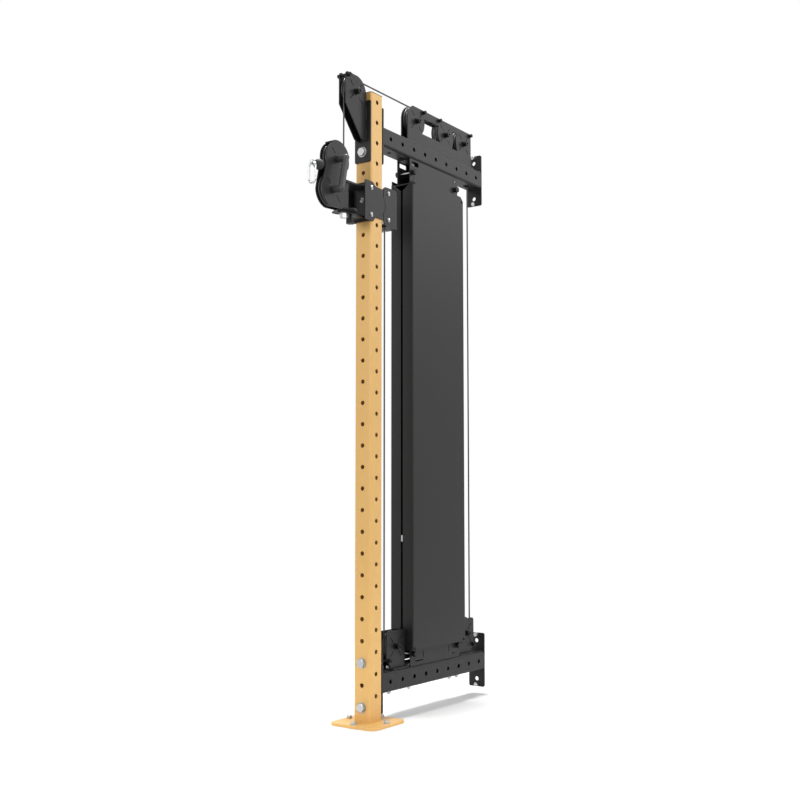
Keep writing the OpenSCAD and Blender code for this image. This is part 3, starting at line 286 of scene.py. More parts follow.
def weld_tree():
    """Overlapping scales of weld metal, one behind another along every edge that is given."""
    smallest, largest = 0.88, 1.12
    tree = bpy.data.node_groups.new("weld_scales", "GeometryNodeTree")
    tree.interface.new_socket("Seams", in_out="INPUT", socket_type="NodeSocketGeometry")
    for size in ("Scale radius", "Scale pitch"):
        tree.interface.new_socket(size, in_out="INPUT", socket_type="NodeSocketFloat")
    tree.interface.new_socket("Finish", in_out="INPUT", socket_type="NodeSocketMaterial")
    tree.interface.new_socket("Weld", in_out="OUTPUT", socket_type="NodeSocketGeometry")
    given, made = tree.nodes.new("NodeGroupInput"), tree.nodes.new("NodeGroupOutput")
    seam = tree.nodes.new("GeometryNodeMeshToCurve")
    stops = tree.nodes.new("GeometryNodeResampleCurve")
    stops.mode = "LENGTH"
    scale = tree.nodes.new("GeometryNodeMeshUVSphere")
    scale.inputs["Segments"].default_value, scale.inputs["Rings"].default_value = 8, 5
    hand = tree.nodes.new("FunctionNodeRandomValue")
    hand.inputs["Seed"].default_value = 7
    hand.inputs[2].default_value, hand.inputs[3].default_value = smallest, largest
    lay = tree.nodes.new("GeometryNodeInstanceOnPoints")
    real = tree.nodes.new("GeometryNodeRealizeInstances")
    coat = tree.nodes.new("GeometryNodeSetMaterial")
    link = tree.links.new
    link(given.outputs["Seams"], seam.inputs["Mesh"])
    link(seam.outputs["Curve"], stops.inputs["Curve"])
    link(given.outputs["Scale pitch"], stops.inputs["Length"])
    link(given.outputs["Scale radius"], scale.inputs["Radius"])
    link(stops.outputs["Curve"], lay.inputs["Points"])
    link(scale.outputs["Mesh"], lay.inputs["Instance"])
    link(hand.outputs[1], lay.inputs["Scale"])
    link(lay.outputs["Instances"], real.inputs["Geometry"])
    link(real.outputs["Geometry"], coat.inputs["Geometry"])
    link(given.outputs["Finish"], coat.inputs["Material"])
    link(coat.outputs["Geometry"], made.inputs["Weld"])
    return tree


def grown(name, seeds, tree, body, slot, **inputs):
    """Runs a node tree over a mesh of places or lines and keeps the plain mesh that it makes."""
    crisp_turn = math.radians(24)
    piece = bpy.data.objects.new(name, seeds)
    scene.collection.objects.link(piece)
    grow = piece.modifiers.new(tree.name, "NODES")
    grow.node_group = tree
    for socket in tree.interface.items_tree:
        wanted = socket.name.lower().replace(" ", "_")
        if socket.in_out == "INPUT" and wanted in inputs:
            grow[socket.identifier] = inputs[wanted]
    graph = bpy.context.evaluated_depsgraph_get()
    plain = bpy.data.meshes.new_from_object(piece.evaluated_get(graph), depsgraph=graph)
    piece.modifiers.clear()
    piece.data = plain
    plain.shade_smooth()
    plain.set_sharp_from_angle(angle=crisp_turn)
    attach(piece, body)
    return piece


def weld(name, seams, body, slot, finish, radius=0.0021):
    """A bead along each seam, given as its two ends."""
    overlap = 0.9
    lines = bpy.data.meshes.new(name)
    lines.from_pydata([Vector(end) for seam in seams for end in seam],
                      [(2 * i, 2 * i + 1) for i in range(len(seams))], [])
    return grown(name, lines, weld_scales, body, slot, scale_radius=radius,
                 scale_pitch=radius * overlap, finish=finish)


weld_scales = weld_tree()
tube_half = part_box("upright")[1][0]
tube_corner, end_plate, beam_bead = 0.009, 0.006, 0.0026
beam_ends, beam_z = [], {}
for beam in ("lower_beam", "upper_beam"):
    beam_low, beam_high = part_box(beam)
    beam_z[beam] = (beam_low[2] + beam_high[2]) / 2
    for y in (beam_low[1] + end_plate, beam_high[1] - end_plate):
        for side in (-1, 1):
            z = beam_z[beam] + side * tube_half
            beam_ends.append(((tube_corner - tube_half, y, z), (tube_half - tube_corner, y, z)))
weld("beam_welds", beam_ends, "frame", "black_coat", black, radius=beam_bead)

# Frame bolts: M16 bolts through the upright, floor anchors, wall bolts and the beams' own
# bolts, all zinc-plated hexagon hardware rolled and turned from steel bar, with washers.


def bright_steel(name, colour, gloss, grain, stretch):
    """Bare or plated steel: fine drawing or grinding lines that drift in the roughness."""
    bright, dulled = gloss - 0.07, gloss + 0.1
    steel = bpy.data.materials.new(name)
    steel.use_nodes = True
    tree = steel.node_tree
    skin = tree.nodes["Principled BSDF"]
    skin.inputs["Metallic"].default_value = 1
    skin.inputs["Base Color"].default_value = (*colour, 1)
    where = tree.nodes.new("ShaderNodeTexCoord")
    along = tree.nodes.new("ShaderNodeMapping")
    along.inputs["Scale"].default_value = stretch
    lines = tree.nodes.new("ShaderNodeTexNoise")
    lines.inputs["Scale"].default_value = grain
    lines.inputs["Detail"].default_value = 4
    dull = tree.nodes.new("ShaderNodeMapRange")
    dull.inputs["To Min"].default_value = bright
    dull.inputs["To Max"].default_value = dulled
    bump = tree.nodes.new("ShaderNodeBump")
    bump.inputs["Distance"].default_value = 0.00003
    bump.inputs["Strength"].default_value = 0.4
    link = tree.links.new
    link(where.outputs["Object"], along.inputs["Vector"])
    link(along.outputs["Vector"], lines.inputs["Vector"])
    link(lines.outputs["Fac"], dull.inputs["Value"])
    link(dull.outputs["Result"], skin.inputs["Roughness"])
    link(lines.outputs["Fac"], bump.inputs["Height"])
    link(bump.outputs["Normal"], skin.inputs["Normal"])
    return steel


def turned(tree, sides, low, high, base, height):
    """A prism or a taper of that many sides that stands on base."""
    bar = tree.nodes.new("GeometryNodeMeshCone")
    bar.inputs["Vertices"].default_value = sides
    rest = tree.nodes.new("ShaderNodeCombineXYZ")
    move = tree.nodes.new("GeometryNodeTransform")
    for socket, value in ((bar.inputs["Radius Bottom"], low), (bar.inputs["Radius Top"], high),
                          (bar.inputs["Depth"], height), (rest.inputs["Z"], base)):
        if isinstance(value, bpy.types.NodeSocket):
            tree.links.new(value, socket)
        else:
            socket.default_value = value
    tree.links.new(rest.outputs[0], move.inputs["Translation"])
    tree.links.new(bar.outputs["Mesh"], move.inputs["Geometry"])
    return move.outputs["Geometry"]


def together(tree, parts):
    join = tree.nodes.new("GeometryNodeJoinGeometry")
    for part in parts:
        tree.links.new(part, join.inputs["Geometry"])
    return join.outputs["Geometry"]


def machined(tree, how, stock, cutter):
    """INTERSECT keeps what both share, and DIFFERENCE takes the cutter out of the stock."""
    cut = tree.nodes.new("GeometryNodeMeshBoolean")
    cut.operation = how
    tree.links.new(stock, cut.inputs["Mesh 1" if how == "DIFFERENCE" else "Mesh 2"])
    tree.links.new(cutter, cut.inputs["Mesh 2"])
    return cut.outputs["Mesh"]


def hardware_tree(name, sizes, build):
    """A node tree that stands one piece of hardware on every place, along the place's facing."""
    tree = bpy.data.node_groups.new(name, "GeometryNodeTree")
    tree.interface.new_socket("Places", in_out="INPUT", socket_type="NodeSocketGeometry")
    for size in sizes:
        tree.interface.new_socket(size, in_out="INPUT", socket_type="NodeSocketFloat")
    tree.interface.new_socket("Finish", in_out="INPUT", socket_type="NodeSocketMaterial")
    tree.interface.new_socket("Hardware", in_out="OUTPUT", socket_type="NodeSocketGeometry")
    given, made = tree.nodes.new("NodeGroupInput"), tree.nodes.new("NodeGroupOutput")
    facing = tree.nodes.new("GeometryNodeInputNamedAttribute")
    facing.data_type = "FLOAT_VECTOR"
    facing.inputs["Name"].default_value = "facing"
    turn = tree.nodes.new("FunctionNodeAlignRotationToVector")
    turn.axis = "Z"
    stand = tree.nodes.new("GeometryNodeInstanceOnPoints")
    real = tree.nodes.new("GeometryNodeRealizeInstances")
    coat = tree.nodes.new("GeometryNodeSetMaterial")
    link = tree.links.new
    link(facing.outputs["Attribute"], turn.inputs["Vector"])
    link(turn.outputs["Rotation"], stand.inputs["Rotation"])
    link(given.outputs["Places"], stand.inputs["Points"])
    link(build(tree, given.outputs), stand.inputs["Instance"])
    link(stand.outputs["Instances"], real.inputs["Geometry"])
    link(real.outputs["Geometry"], coat.inputs["Geometry"])
    link(given.outputs["Finish"], coat.inputs["Material"])
    link(coat.outputs["Geometry"], made.inputs["Hardware"])
    return tree


def stand_on(name, tree, places, body, slot, finish, **sizes):
    """Stands a hardware tree's piece on its places, each given as a point and a facing."""
    seeds = bpy.data.meshes.new(name)
    seeds.from_pydata([Vector(place) for place, _ in places], [], [])
    facing = seeds.attributes.new("facing", "FLOAT_VECTOR", "POINT")
    for i, (_, way) in enumerate(places):
        facing.data[i].vector = way
    return grown(name, seeds, tree, body, slot, finish=finish, **sizes)


def turned_down(tree, stock, crown, base, height, slope):
    """Stock on base whose top edge is turned down to the crown's radius, with that slope."""
    past = 0.001
    reach = figure(tree, "MULTIPLY", figure(tree, "ADD", height, past), slope)
    return machined(tree, "INTERSECT", stock, turned(
        tree, 48, figure(tree, "ADD", crown, reach), figure(tree, "SUBTRACT", crown, past * slope),
        figure(tree, "SUBTRACT", base, past), figure(tree, "ADD", height, 2 * past)))


def chamfered_hexagon(tree, across, base, height):
    """Hexagon bar whose top corners are turned down at thirty degrees."""
    corner_share, crown_share, chamfer_slope = 0.57735, 0.475, 1.732
    corner = figure(tree, "MULTIPLY", across, corner_share)
    crown = figure(tree, "MULTIPLY", across, crown_share)
    return turned_down(tree, turned(tree, 6, corner, corner, base, height), crown, base, height,
                       chamfer_slope)


def flat_washer(tree, size, sides=56):
    return turned(tree, sides, size["Washer radius"], size["Washer radius"], 0,
                  size["Washer thickness"])


def shank(tree, size):
    """The bolt's plain body, from its seat down."""
    below = figure(tree, "MULTIPLY", size["Shank length"], -1)
    return turned(tree, 32, size["Shank radius"], size["Shank radius"], below, size["Shank length"])


def hex_head(tree, size):
    """Washer, chamfered hexagon, and the shank below."""
    head = chamfered_hexagon(tree, size["Across flats"], size["Washer thickness"],
                             size["Head height"])
    return together(tree, [flat_washer(tree, size), head, shank(tree, size)])


def hex_nut(tree, size):
    """Washer, chamfered nut, and the bolt's turned point that stands out of it."""
    turns, root_share = 4, 0.82
    nut = chamfered_hexagon(tree, size["Across flats"], size["Washer thickness"],
                            size["Nut height"])
    nut_top = figure(tree, "ADD", size["Washer thickness"], size["Nut height"])
    root = figure(tree, "MULTIPLY", size["Bolt radius"], root_share)
    pitch = figure(tree, "MULTIPLY", size["Point length"], 1 / turns)
    threads = []
    for i in range(turns):
        climb = figure(tree, "MULTIPLY", size["Point length"], i / turns)
        threads.append(turned(tree, 28, size["Bolt radius"], root,
                              figure(tree, "ADD", nut_top, climb), pitch))
    return together(tree, [flat_washer(tree, size), nut, *threads])


bolt_sizes = ("Washer radius", "Washer thickness", "Shank radius", "Shank length")
nut_sizes = ("Washer radius", "Washer thickness", "Bolt radius", "Point length")
hex_heads = hardware_tree("hex_heads", ("Across flats", "Head height") + bolt_sizes, hex_head)
hex_nuts = hardware_tree("hex_nuts", ("Across flats", "Nut height") + nut_sizes, hex_nut)
zinc = bright_steel("zinc_plate", (0.47, 0.475, 0.48), gloss=0.30, grain=260,
                    stretch=(1, 1, 1))
toward_user, toward_wall, upward, downward = (0, -1, 0), (0, 1, 0), (0, 0, 1), (0, 0, -1)
hole_pitch, washer, base_plate = 0.08, 0.0025, 0.005
flange_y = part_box("lower_beam")[0][1] + end_plate
bracket_face_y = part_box("front_bracket")[1][1] - base_plate
post_bolt_z = [beam_z["lower_beam"] + side * hole_pitch for side in (-1, 1)]
bracket_bolt_z = [beam_z["upper_beam"] + side * hole_pitch for side in (-1, 1)]
m16_radius = 0.008
m16 = dict(head_height=0.010, washer_thickness=washer, shank_radius=m16_radius)
wide_m16 = dict(across_flats=0.030, washer_radius=0.0195, **m16)
post_bolts = stand_on("post_bolts", hex_heads,
                      [((0, -tube_half, z), toward_user) for z in post_bolt_z],
                      "frame", "zinc", zinc, shank_length=flange_y + tube_half, **wide_m16)
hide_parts("frame_bolts")
bracket_shank = flange_y - bracket_face_y
stand_on("bracket_bolt_low", hex_heads, [((0, bracket_face_y, bracket_bolt_z[0]), toward_user)],
         "frame", "zinc", zinc, shank_length=bracket_shank, **wide_m16)
stand_on("bracket_bolt_high", hex_heads, [((0, bracket_face_y, bracket_bolt_z[1]), toward_user)],
         "frame", "zinc", zinc, across_flats=0.021, washer_radius=0.0125,
         shank_length=bracket_shank, **m16)
stand_on("post_nuts", hex_nuts,
         [((0, flange_y, z), toward_wall) for z in post_bolt_z + bracket_bolt_z],
         "frame", "zinc", zinc, across_flats=0.024, nut_height=0.013, washer_radius=0.015,
         washer_thickness=washer, bolt_radius=m16_radius, point_length=0.004)
foot_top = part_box("foot_plate")[1][2]
anchor_reach = 0.085
quarter_turns = (0, math.pi / 2, math.pi, -math.pi / 2)
stand_on("floor_anchors", hex_heads,
         [((anchor_reach * math.cos(turn), anchor_reach * math.sin(turn), foot_top), upward)
          for turn in quarter_turns],
         "frame", "zinc", zinc, across_flats=0.019, head_height=0.008, washer_radius=0.012,
         washer_thickness=washer, shank_radius=0.006, shank_length=foot_top)
wall_face_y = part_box("upper_beam")[1][1] - end_plate
keyhole_slot = 0.024
wall_bolt_reach = hole_pitch + keyhole_slot
stand_on("wall_bolts", hex_heads,
         [((0, wall_face_y, z + side * wall_bolt_reach), toward_user)
          for z in beam_z.values() for side in (-1, 1)],
         "frame", "zinc", zinc, across_flats=0.016, head_height=0.007, washer_radius=0.0084,
         washer_thickness=washer, shank_radius=0.0058, shank_length=end_plate)
first_cross_y = 0.1315
beam_bolt = dict(across_flats=0.019, washer_thickness=washer)
upper_top_z = beam_z["upper_beam"] + tube_half + base_plate
upper_bottom_z = beam_z["upper_beam"] - tube_half
lower_top_z = beam_z["lower_beam"] + tube_half + base_plate
lower_bottom_z = beam_z["lower_beam"] - tube_half
upper_bolt_y = [first_cross_y + i * hole_pitch for i in (2, 5, 6)]
lower_bolt_y = [first_cross_y + i * hole_pitch for i in (0, 6)]
through_beam = 2 * tube_half + base_plate
beam_nut_spots = [(upper_bolt_y[0], upper_bottom_z - base_plate),
                  (upper_bolt_y[1], upper_bottom_z - base_plate),
                  (upper_bolt_y[2], upper_bottom_z)] + [(y, lower_bottom_z) for y in lower_bolt_y]
stand_on("beam_bolt_heads", hex_heads,
         [((0, y, upper_top_z), upward) for y in upper_bolt_y]
         + [((0, y, lower_top_z), upward) for y in lower_bolt_y],
         "frame", "zinc", zinc, head_height=0.007, washer_radius=0.011, shank_radius=0.006,
         shank_length=through_beam, **beam_bolt)
stand_on("beam_nuts", hex_nuts, [((0, y, z), downward) for y, z in beam_nut_spots],
         "frame", "zinc", zinc, nut_height=0.009, washer_radius=0.012, bolt_radius=0.006,
         point_length=0.004, **beam_bolt)
axle_at = {joint["child"]: Vector(joint["pos_m"])
           for joint in frame["record"]["behaviour"]["joints"] if "pos_m" in joint}
stack_middle_y = axle_at["stack_pulley"].y
base_bolt_x, base_bolt_steps = (-0.017, 0.017), (-0.169, 0.121)
base_places = [(x, stack_middle_y + step) for x in base_bolt_x for step in base_bolt_steps]
base_bolt = dict(across_flats=0.013, washer_radius=0.008, washer_thickness=washer)
stand_on("base_bolt_heads", hex_heads, [((x, y, lower_top_z), upward) for x, y in base_places],
         "frame", "zinc", zinc, head_height=0.005, shank_radius=0.004,
         shank_length=through_beam, **base_bolt)
stand_on("base_bolt_nuts", hex_nuts,
         [((x, y, lower_bottom_z), downward) for x, y in base_places],
         "frame", "zinc", zinc, nut_height=0.006, bolt_radius=0.004, point_length=0.003,
         **base_bolt)

# Front pulley bracket: two slit side plates welded to a base plate that the upright's
# two top bolts clamp. It carries the cable out in front of the upright.
deburred("front_bracket", black, edge=0.0005)
plate_inside, plate_outside = 0.013, 0.017
seam_length, seam_rises = 0.05, (0.085, 0.165)
front_low_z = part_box("front_bracket")[0][2]
bracket_seams = [((side * plate_outside, bracket_face_y, front_low_z + rise),
                  (side * plate_outside, bracket_face_y, front_low_z + rise + seam_length))
                 for side in (-1, 1) for rise in seam_rises]
weld("front_bracket_welds", bracket_seams, "frame", "black_coat", black)

# Top pulley bracket: one long base plate on the upper beam and two side plates with
# windows between their three pulleys, stitched to the base from outside.
deburred("top_bracket", black, edge=0.0005)


def stitches(start, end, z, stitch=0.035, gap=0.07):
    """Ends of the stitch welds along both side plates, from start to end along Y."""
    count = int((end - start + gap) // (stitch + gap))
    spare = (end - start - count * stitch - (count - 1) * gap) / 2
    return [((side * plate_outside, y, z), (side * plate_outside, y + stitch, z))
            for side in (-1, 1)
            for y in (start + spare + i * (stitch + gap) for i in range(count))]


top_low, top_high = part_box("top_bracket")
top_seams = stitches(top_low[1], top_high[1], upper_top_z)
weld("top_bracket_welds", top_seams, "frame", "black_coat", black)

# Lower pulley brackets, one in front of the weight stack and one behind it,
# made and welded as the top one is.
deburred("lower_front_bracket", black, edge=0.0005)
deburred("lower_rear_bracket", black, edge=0.0005)
bare_end, low_seams = 0.02, []
for bracket in ("lower_front_bracket", "lower_rear_bracket"):
    box_low, box_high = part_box(bracket)
    low_seams += stitches(box_low[1] + bare_end, box_high[1] - bare_end, lower_top_z,
                          stitch=0.03, gap=0.02)
weld("low_bracket_welds", low_seams, "frame", "black_coat", black)

# Stack brackets: folded channels on the lower beam and under the upper one, each with
# a deck that the guide rods stand in and the covers screw to.
deburred("lower_stack_bracket", black, edge=0.0004)
deburred("upper_stack_bracket", black, edge=0.0004)

# Covers: two C-shaped halves of bent sheet. The slit between their flanges lets the
# selector pin travel, and their top corners are cut away.
deburred("left_cover", black, edge=0.0003)
deburred("right_cover", black, edge=0.0003)

# Cover knobs: moulded knobs at both ends of a bright bolt through each stack bracket,
# and the small black screws that hold the covers to the decks.


def fluted_knob(tree, size):
    """Neck, and a head with rounded lobes that is filled, raised and closed underneath."""
    valley_share, round_share, crown_share, crown_top_share = 0.84, 0.3, 0.6, 0.5
    crown_height, same_point = 0.0008, 0.00001
    lobes = tree.nodes.new("GeometryNodeCurveStar")
    lobes.inputs["Points"].default_value = 7
    soft = tree.nodes.new("GeometryNodeFilletCurve")
    soft.mode = "POLY"
    soft.inputs["Count"].default_value = 6
    soft.inputs["Limit Radius"].default_value = True
    top = tree.nodes.new("GeometryNodeFillCurve")
    top.mode = "NGONS"
    raise_up = tree.nodes.new("GeometryNodeExtrudeMesh")
    raise_up.inputs["Individual"].default_value = False
    under = tree.nodes.new("GeometryNodeFlipFaces")
    seal = tree.nodes.new("GeometryNodeMergeByDistance")
    seal.inputs["Distance"].default_value = same_point
    base = tree.nodes.new("ShaderNodeCombineXYZ")
    lift_up = tree.nodes.new("GeometryNodeTransform")
    link = tree.links.new
    link(figure(tree, "MULTIPLY", size["Head radius"], valley_share), lobes.inputs["Inner Radius"])
    link(size["Head radius"], lobes.inputs["Outer Radius"])
    link(figure(tree, "MULTIPLY", size["Head radius"], round_share), soft.inputs["Radius"])
    link(lobes.outputs["Curve"], soft.inputs["Curve"])
    link(soft.outputs["Curve"], top.inputs["Curve"])
    link(top.outputs["Mesh"], raise_up.inputs["Mesh"])
    link(size["Head height"], raise_up.inputs["Offset Scale"])
    link(top.outputs["Mesh"], under.inputs["Mesh"])
    link(together(tree, [raise_up.outputs["Mesh"], under.outputs["Mesh"]]), seal.inputs["Geometry"])
    link(size["Neck height"], base.inputs["Z"])
    link(base.outputs[0], lift_up.inputs["Translation"])
    link(seal.outputs["Geometry"], lift_up.inputs["Geometry"])
    crown_base = figure(tree, "ADD", size["Neck height"], size["Head height"])
    return together(tree, [
        turned(tree, 32, size["Neck radius"], size["Neck radius"], 0, size["Neck height"]),
        lift_up.outputs["Geometry"],
        turned(tree, 32, figure(tree, "MULTIPLY", size["Head radius"], crown_share),
               figure(tree, "MULTIPLY", size["Head radius"], crown_top_share),
               crown_base, crown_height)])


def plain_bar(tree, size):
    return turned(tree, 32, size["Radius"], size["Radius"], 0, size["Length"])


def socket_screw(tree, size):
    """Washer, round head with a turned edge and a hexagon socket, and the shank below."""
    key_share, depth_share, tool_share, crown_share, edge_slope = 0.5, 0.5, 0.9, 0.88, 1
    base, radius, height = size["Washer thickness"], size["Head radius"], size["Head height"]
    key = figure(tree, "MULTIPLY", radius, key_share)
    key_depth = figure(tree, "MULTIPLY", height, depth_share)
    key_base = figure(tree, "ADD", base, figure(tree, "SUBTRACT", height, key_depth))
    stock = turned(tree, 40, radius, radius, base, height)
    rounded = turned_down(tree, stock, figure(tree, "MULTIPLY", radius, crown_share), base, height,
                          edge_slope)
    key_cut = turned(tree, 6, key, key, key_base, figure(tree, "MULTIPLY", height, tool_share))
    drilled = machined(tree, "DIFFERENCE", rounded, key_cut)
    return together(tree, [flat_washer(tree, size, 48), drilled, shank(tree, size)])


fluted_knobs = hardware_tree("fluted_knobs", ("Neck radius", "Neck height", "Head radius",
                                              "Head height"), fluted_knob)
plain_bars = hardware_tree("plain_bars", ("Radius", "Length"), plain_bar)
socket_screws = hardware_tree("socket_screws", ("Head radius", "Head height") + bolt_sizes,
                              socket_screw)
leftward, rightward = (-1, 0, 0), (1, 0, 0)
both_ways = (leftward, rightward)
channel_half = 0.0314
knob_rise, knob_drop, knob_step = 0.047, 0.054, 0.158
knob_low_z = lower_top_z - base_plate + knob_rise
knob_high_z = upper_bottom_z - knob_drop
knob_spots = [(stack_middle_y + side * knob_step, z) for side in (-1, 1)
              for z in (knob_low_z, knob_high_z)]
knobs = stand_on("cover_knob_heads", fluted_knobs,
                 [((way[0] * channel_half, y, z), way) for y, z in knob_spots for way in both_ways],
                 "frame", "black_plastic", cap_plastic, neck_radius=0.008, neck_height=0.005,
                 head_radius=0.0135, head_height=0.0092)
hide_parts("cover_knobs")
ground_steel = bright_steel("ground_steel", (0.44, 0.445, 0.455), gloss=0.26, grain=500,
                            stretch=(1, 1, 6))
stand_on("cover_knob_bolts", plain_bars,
         [((-channel_half, y, z), rightward) for y, z in knob_spots],
         "frame", "zinc", zinc, radius=0.004, length=2 * channel_half)
black_bolts = powder_coat("black_oxide", (0.008, 0.008, 0.0085), gloss=0.36, grain=500,
                          depth=0.00004, mirror=0.18)
cover_low, cover_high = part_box("left_cover")[0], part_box("right_cover")[1]
deck_half, screw_inset = 0.0025, 0.012
cover_screw_z = (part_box("lower_stack_bracket")[1][2] - deck_half,
                 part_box("upper_stack_bracket")[0][2] + deck_half)
cover_screw_y = (cover_low[1] + screw_inset, cover_high[1] - screw_inset)
stand_on("cover_screws", socket_screws,
         [((way[0] * cover_high[0], y, z), way) for y in cover_screw_y for z in cover_screw_z
          for way in both_ways],
         "frame", "black_bolts", black_bolts, head_radius=0.0043, head_height=0.0023,
         washer_radius=0.005, washer_thickness=0.0007, shank_radius=0.0023, shank_length=0.0025)

# Guide rods and bumpers: bright ground bars with turned-down ends in the two decks,
# and a rubber ring round each foot that the lowest plate rests on.
deburred("guide_rods", ground_steel, edge=0.0003)
bumper_rubber = moulded("bumper_rubber", (0.014, 0.014, 0.014), gloss=0.7)
deburred("stack_bumpers", bumper_rubber, edge=0.0004)

# Weight plates: cast iron, milled flat and painted black, those that rest and those that
# the selector pin lifts with the top plate. Only the slit shows them.
stack_paint = powder_coat("stack_paint", (0.022, 0.022, 0.024), gloss=0.4, grain=300, depth=0.0002)
deburred("resting_plates", stack_paint, edge=0.0006)
deburred("lifted_plates", stack_paint, edge=0.0006)
deburred("top_plate", stack_paint, edge=0.0006)

# Guide bushes: white nylon sleeves with a collar, turned from bar and pressed into the
# top plate, so that it slides on the guide rods.
white_nylon = moulded("white_nylon", (0.75, 0.75, 0.72), gloss=0.4)
deburred("guide_bushes", white_nylon, edge=0.0004)

# Selector stem and pin: a drilled ground bar that hangs from the top plate through every
# weight plate, and the pin that picks one of them, with a flat pull tab in the slit.
deburred("selector_stem", ground_steel, edge=0.0003)
deburred("selector_pin", ground_steel, edge=0.0003)

# Stack pulley's fork: two steel ears welded to a foot on the top plate and painted with
# it. The stack pulley turns on a zinc-plated bolt between them.
deburred("stack_clevis", stack_paint, edge=0.0006)
axle_radius = 0.005
axle_washer = dict(washer_radius=0.013, washer_thickness=0.002)
axle_bolt = dict(head_radius=0.0105, head_height=0.017, shank_radius=axle_radius,
                 shank_length=2 * plate_outside, **axle_washer)
axle_nut = dict(across_flats=0.017, nut_height=0.009, bolt_radius=axle_radius,
                point_length=0.0015, **axle_washer)


def on_plate(places, way):
    """The same axles' places, moved to the outside of the side plate that faces that way."""
    return [((way[0] * plate_outside, place[1], place[2]), way) for place in places]


stack_axle_spot = [axle_at["stack_pulley"]]
stack_axle = stand_on("stack_axle_bolt", socket_screws, on_plate(stack_axle_spot, rightward),
                      "lift", "zinc", zinc, **axle_bolt)
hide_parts("stack_axle")
stand_on("stack_axle_nut", hex_nuts, on_plate(stack_axle_spot, leftward), "lift", "zinc", zinc,
         **axle_nut)

# Pulleys: turned from black nylon bar, with a groove for the cable, a thin web and a
# hub, which runs on its axle bolt.
pulley_nylon = moulded("pulley_nylon", (0.038, 0.038, 0.039), gloss=0.38, grain=260,
                       depth=0.00004)
frame_pulleys = ("front_pulley", "top_pulley_a", "top_pulley_b", "top_pulley_c",
                 "lower_front_pulley", "lower_rear_pulley")
arm_pulleys = ("arm_upper_pulley", "arm_lower_pulley")
for wheel in frame_pulleys + arm_pulleys + ("stack_pulley",):
    deburred(wheel, pulley_nylon, edge=0.0007)

# Pulley axles: black bolts with tall round heads on the right and nuts on the left,
# with a washer under each.
frame_axles = [axle_at[wheel] for wheel in frame_pulleys]
axle_heads = stand_on("pulley_axle_bolts", socket_screws, on_plate(frame_axles, rightward),
                      "frame", "black_bolts", black_bolts, **axle_bolt)
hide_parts("pulley_axles")
stand_on("pulley_axle_nuts", hex_nuts, on_plate(frame_axles, leftward),
         "frame", "black_bolts", black_bolts, **axle_nut)

# Bracket spacers: short tubes between the side plates that keep the cable in its groove,
# each held by a black screw from either side.
spacer_reach, far_corner = 0.049, 0.002
front_reach = spacer_reach + far_corner
spacer_places = [axle_at[wheel] + Vector((0, y, z)) for wheel, y, z in (
    ("front_pulley", -front_reach, front_reach),
    ("top_pulley_a", spacer_reach, spacer_reach),
    ("top_pulley_b", -spacer_reach, spacer_reach),
    ("top_pulley_c", spacer_reach, spacer_reach),
    ("lower_front_pulley", -spacer_reach, -spacer_reach),
    ("lower_rear_pulley", spacer_reach, -spacer_reach))]
spacer_tubes = stand_on("spacer_tubes", plain_bars,
                        [((-plate_inside, place.y, place.z), rightward) for place in spacer_places],
                        "frame", "black_bolts", black_bolts, radius=0.006, length=2 * plate_inside)
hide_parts("bracket_spacers")
stand_on("spacer_screws", socket_screws,
         on_plate(spacer_places, leftward) + on_plate(spacer_places, rightward),
         "frame", "black_bolts", black_bolts, head_radius=0.0076, head_height=0.0114,
         washer_radius=0.0085, washer_thickness=0.0016, shank_radius=0.0039,
         shank_length=plate_outside - plate_inside)

# Carriage: a front half with the web and the two lugs, and a rear half with a floor,
# folded from steel sheet, coated black and screwed together round the upright.
deburred("carriage_front", black, edge=0.0006)
deburred("carriage_rear", black, edge=0.0006)
carriage_low, carriage_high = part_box("carriage_front")
web_front, lug_thickness, lug_seam_half = 0.0085, 0.007, 0.019
low_lug_rise, high_lug_rise = 0.009, 0.0483
web_y = -tube_half - web_front
lug_low_z = carriage_low[2] + low_lug_rise
lug_high_z = axle_at["arm"].z + high_lug_rise
lug_seams = [((-lug_seam_half, web_y, z), (lug_seam_half, web_y, z))
             for z in (lug_low_z + lug_thickness, lug_high_z, lug_high_z + lug_thickness)]
weld("lug_welds", lug_seams, "carriage", "black_coat", black)

# Carriage screws: zinc-plated button heads with washers, in two rows on each side,
# and one through the web.


def button_screw(tree, size):
    """Washer, domed head with a hexagon socket, and the shank below."""
    key_share, floor_share, stock_share = 0.48, 0.35, 1.2
    base, radius, height = size["Washer thickness"], size["Head radius"], size["Head height"]
    dome = tree.nodes.new("GeometryNodeMeshUVSphere")
    dome.inputs["Segments"].default_value, dome.inputs["Rings"].default_value = 40, 21
    dome.inputs["Radius"].default_value = 1
    press = tree.nodes.new("GeometryNodeTransform")
    squash = tree.nodes.new("ShaderNodeCombineXYZ")
    rest = tree.nodes.new("ShaderNodeCombineXYZ")
    link = tree.links.new
    for axis in ("X", "Y"):
        link(radius, squash.inputs[axis])
    link(height, squash.inputs["Z"])
    link(base, rest.inputs["Z"])
    link(squash.outputs[0], press.inputs["Scale"])
    link(rest.outputs[0], press.inputs["Translation"])
    link(dome.outputs["Mesh"], press.inputs["Geometry"])
    wide = figure(tree, "MULTIPLY", radius, stock_share)
    upper = machined(tree, "INTERSECT", press.outputs["Geometry"],
                     turned(tree, 40, wide, wide, base, height))
    key = figure(tree, "MULTIPLY", radius, key_share)
    key_base = figure(tree, "ADD", base, figure(tree, "MULTIPLY", height, floor_share))
    drilled = machined(tree, "DIFFERENCE", upper, turned(tree, 6, key, key, key_base, height))
    return together(tree, [flat_washer(tree, size, 48), drilled, shank(tree, size)])


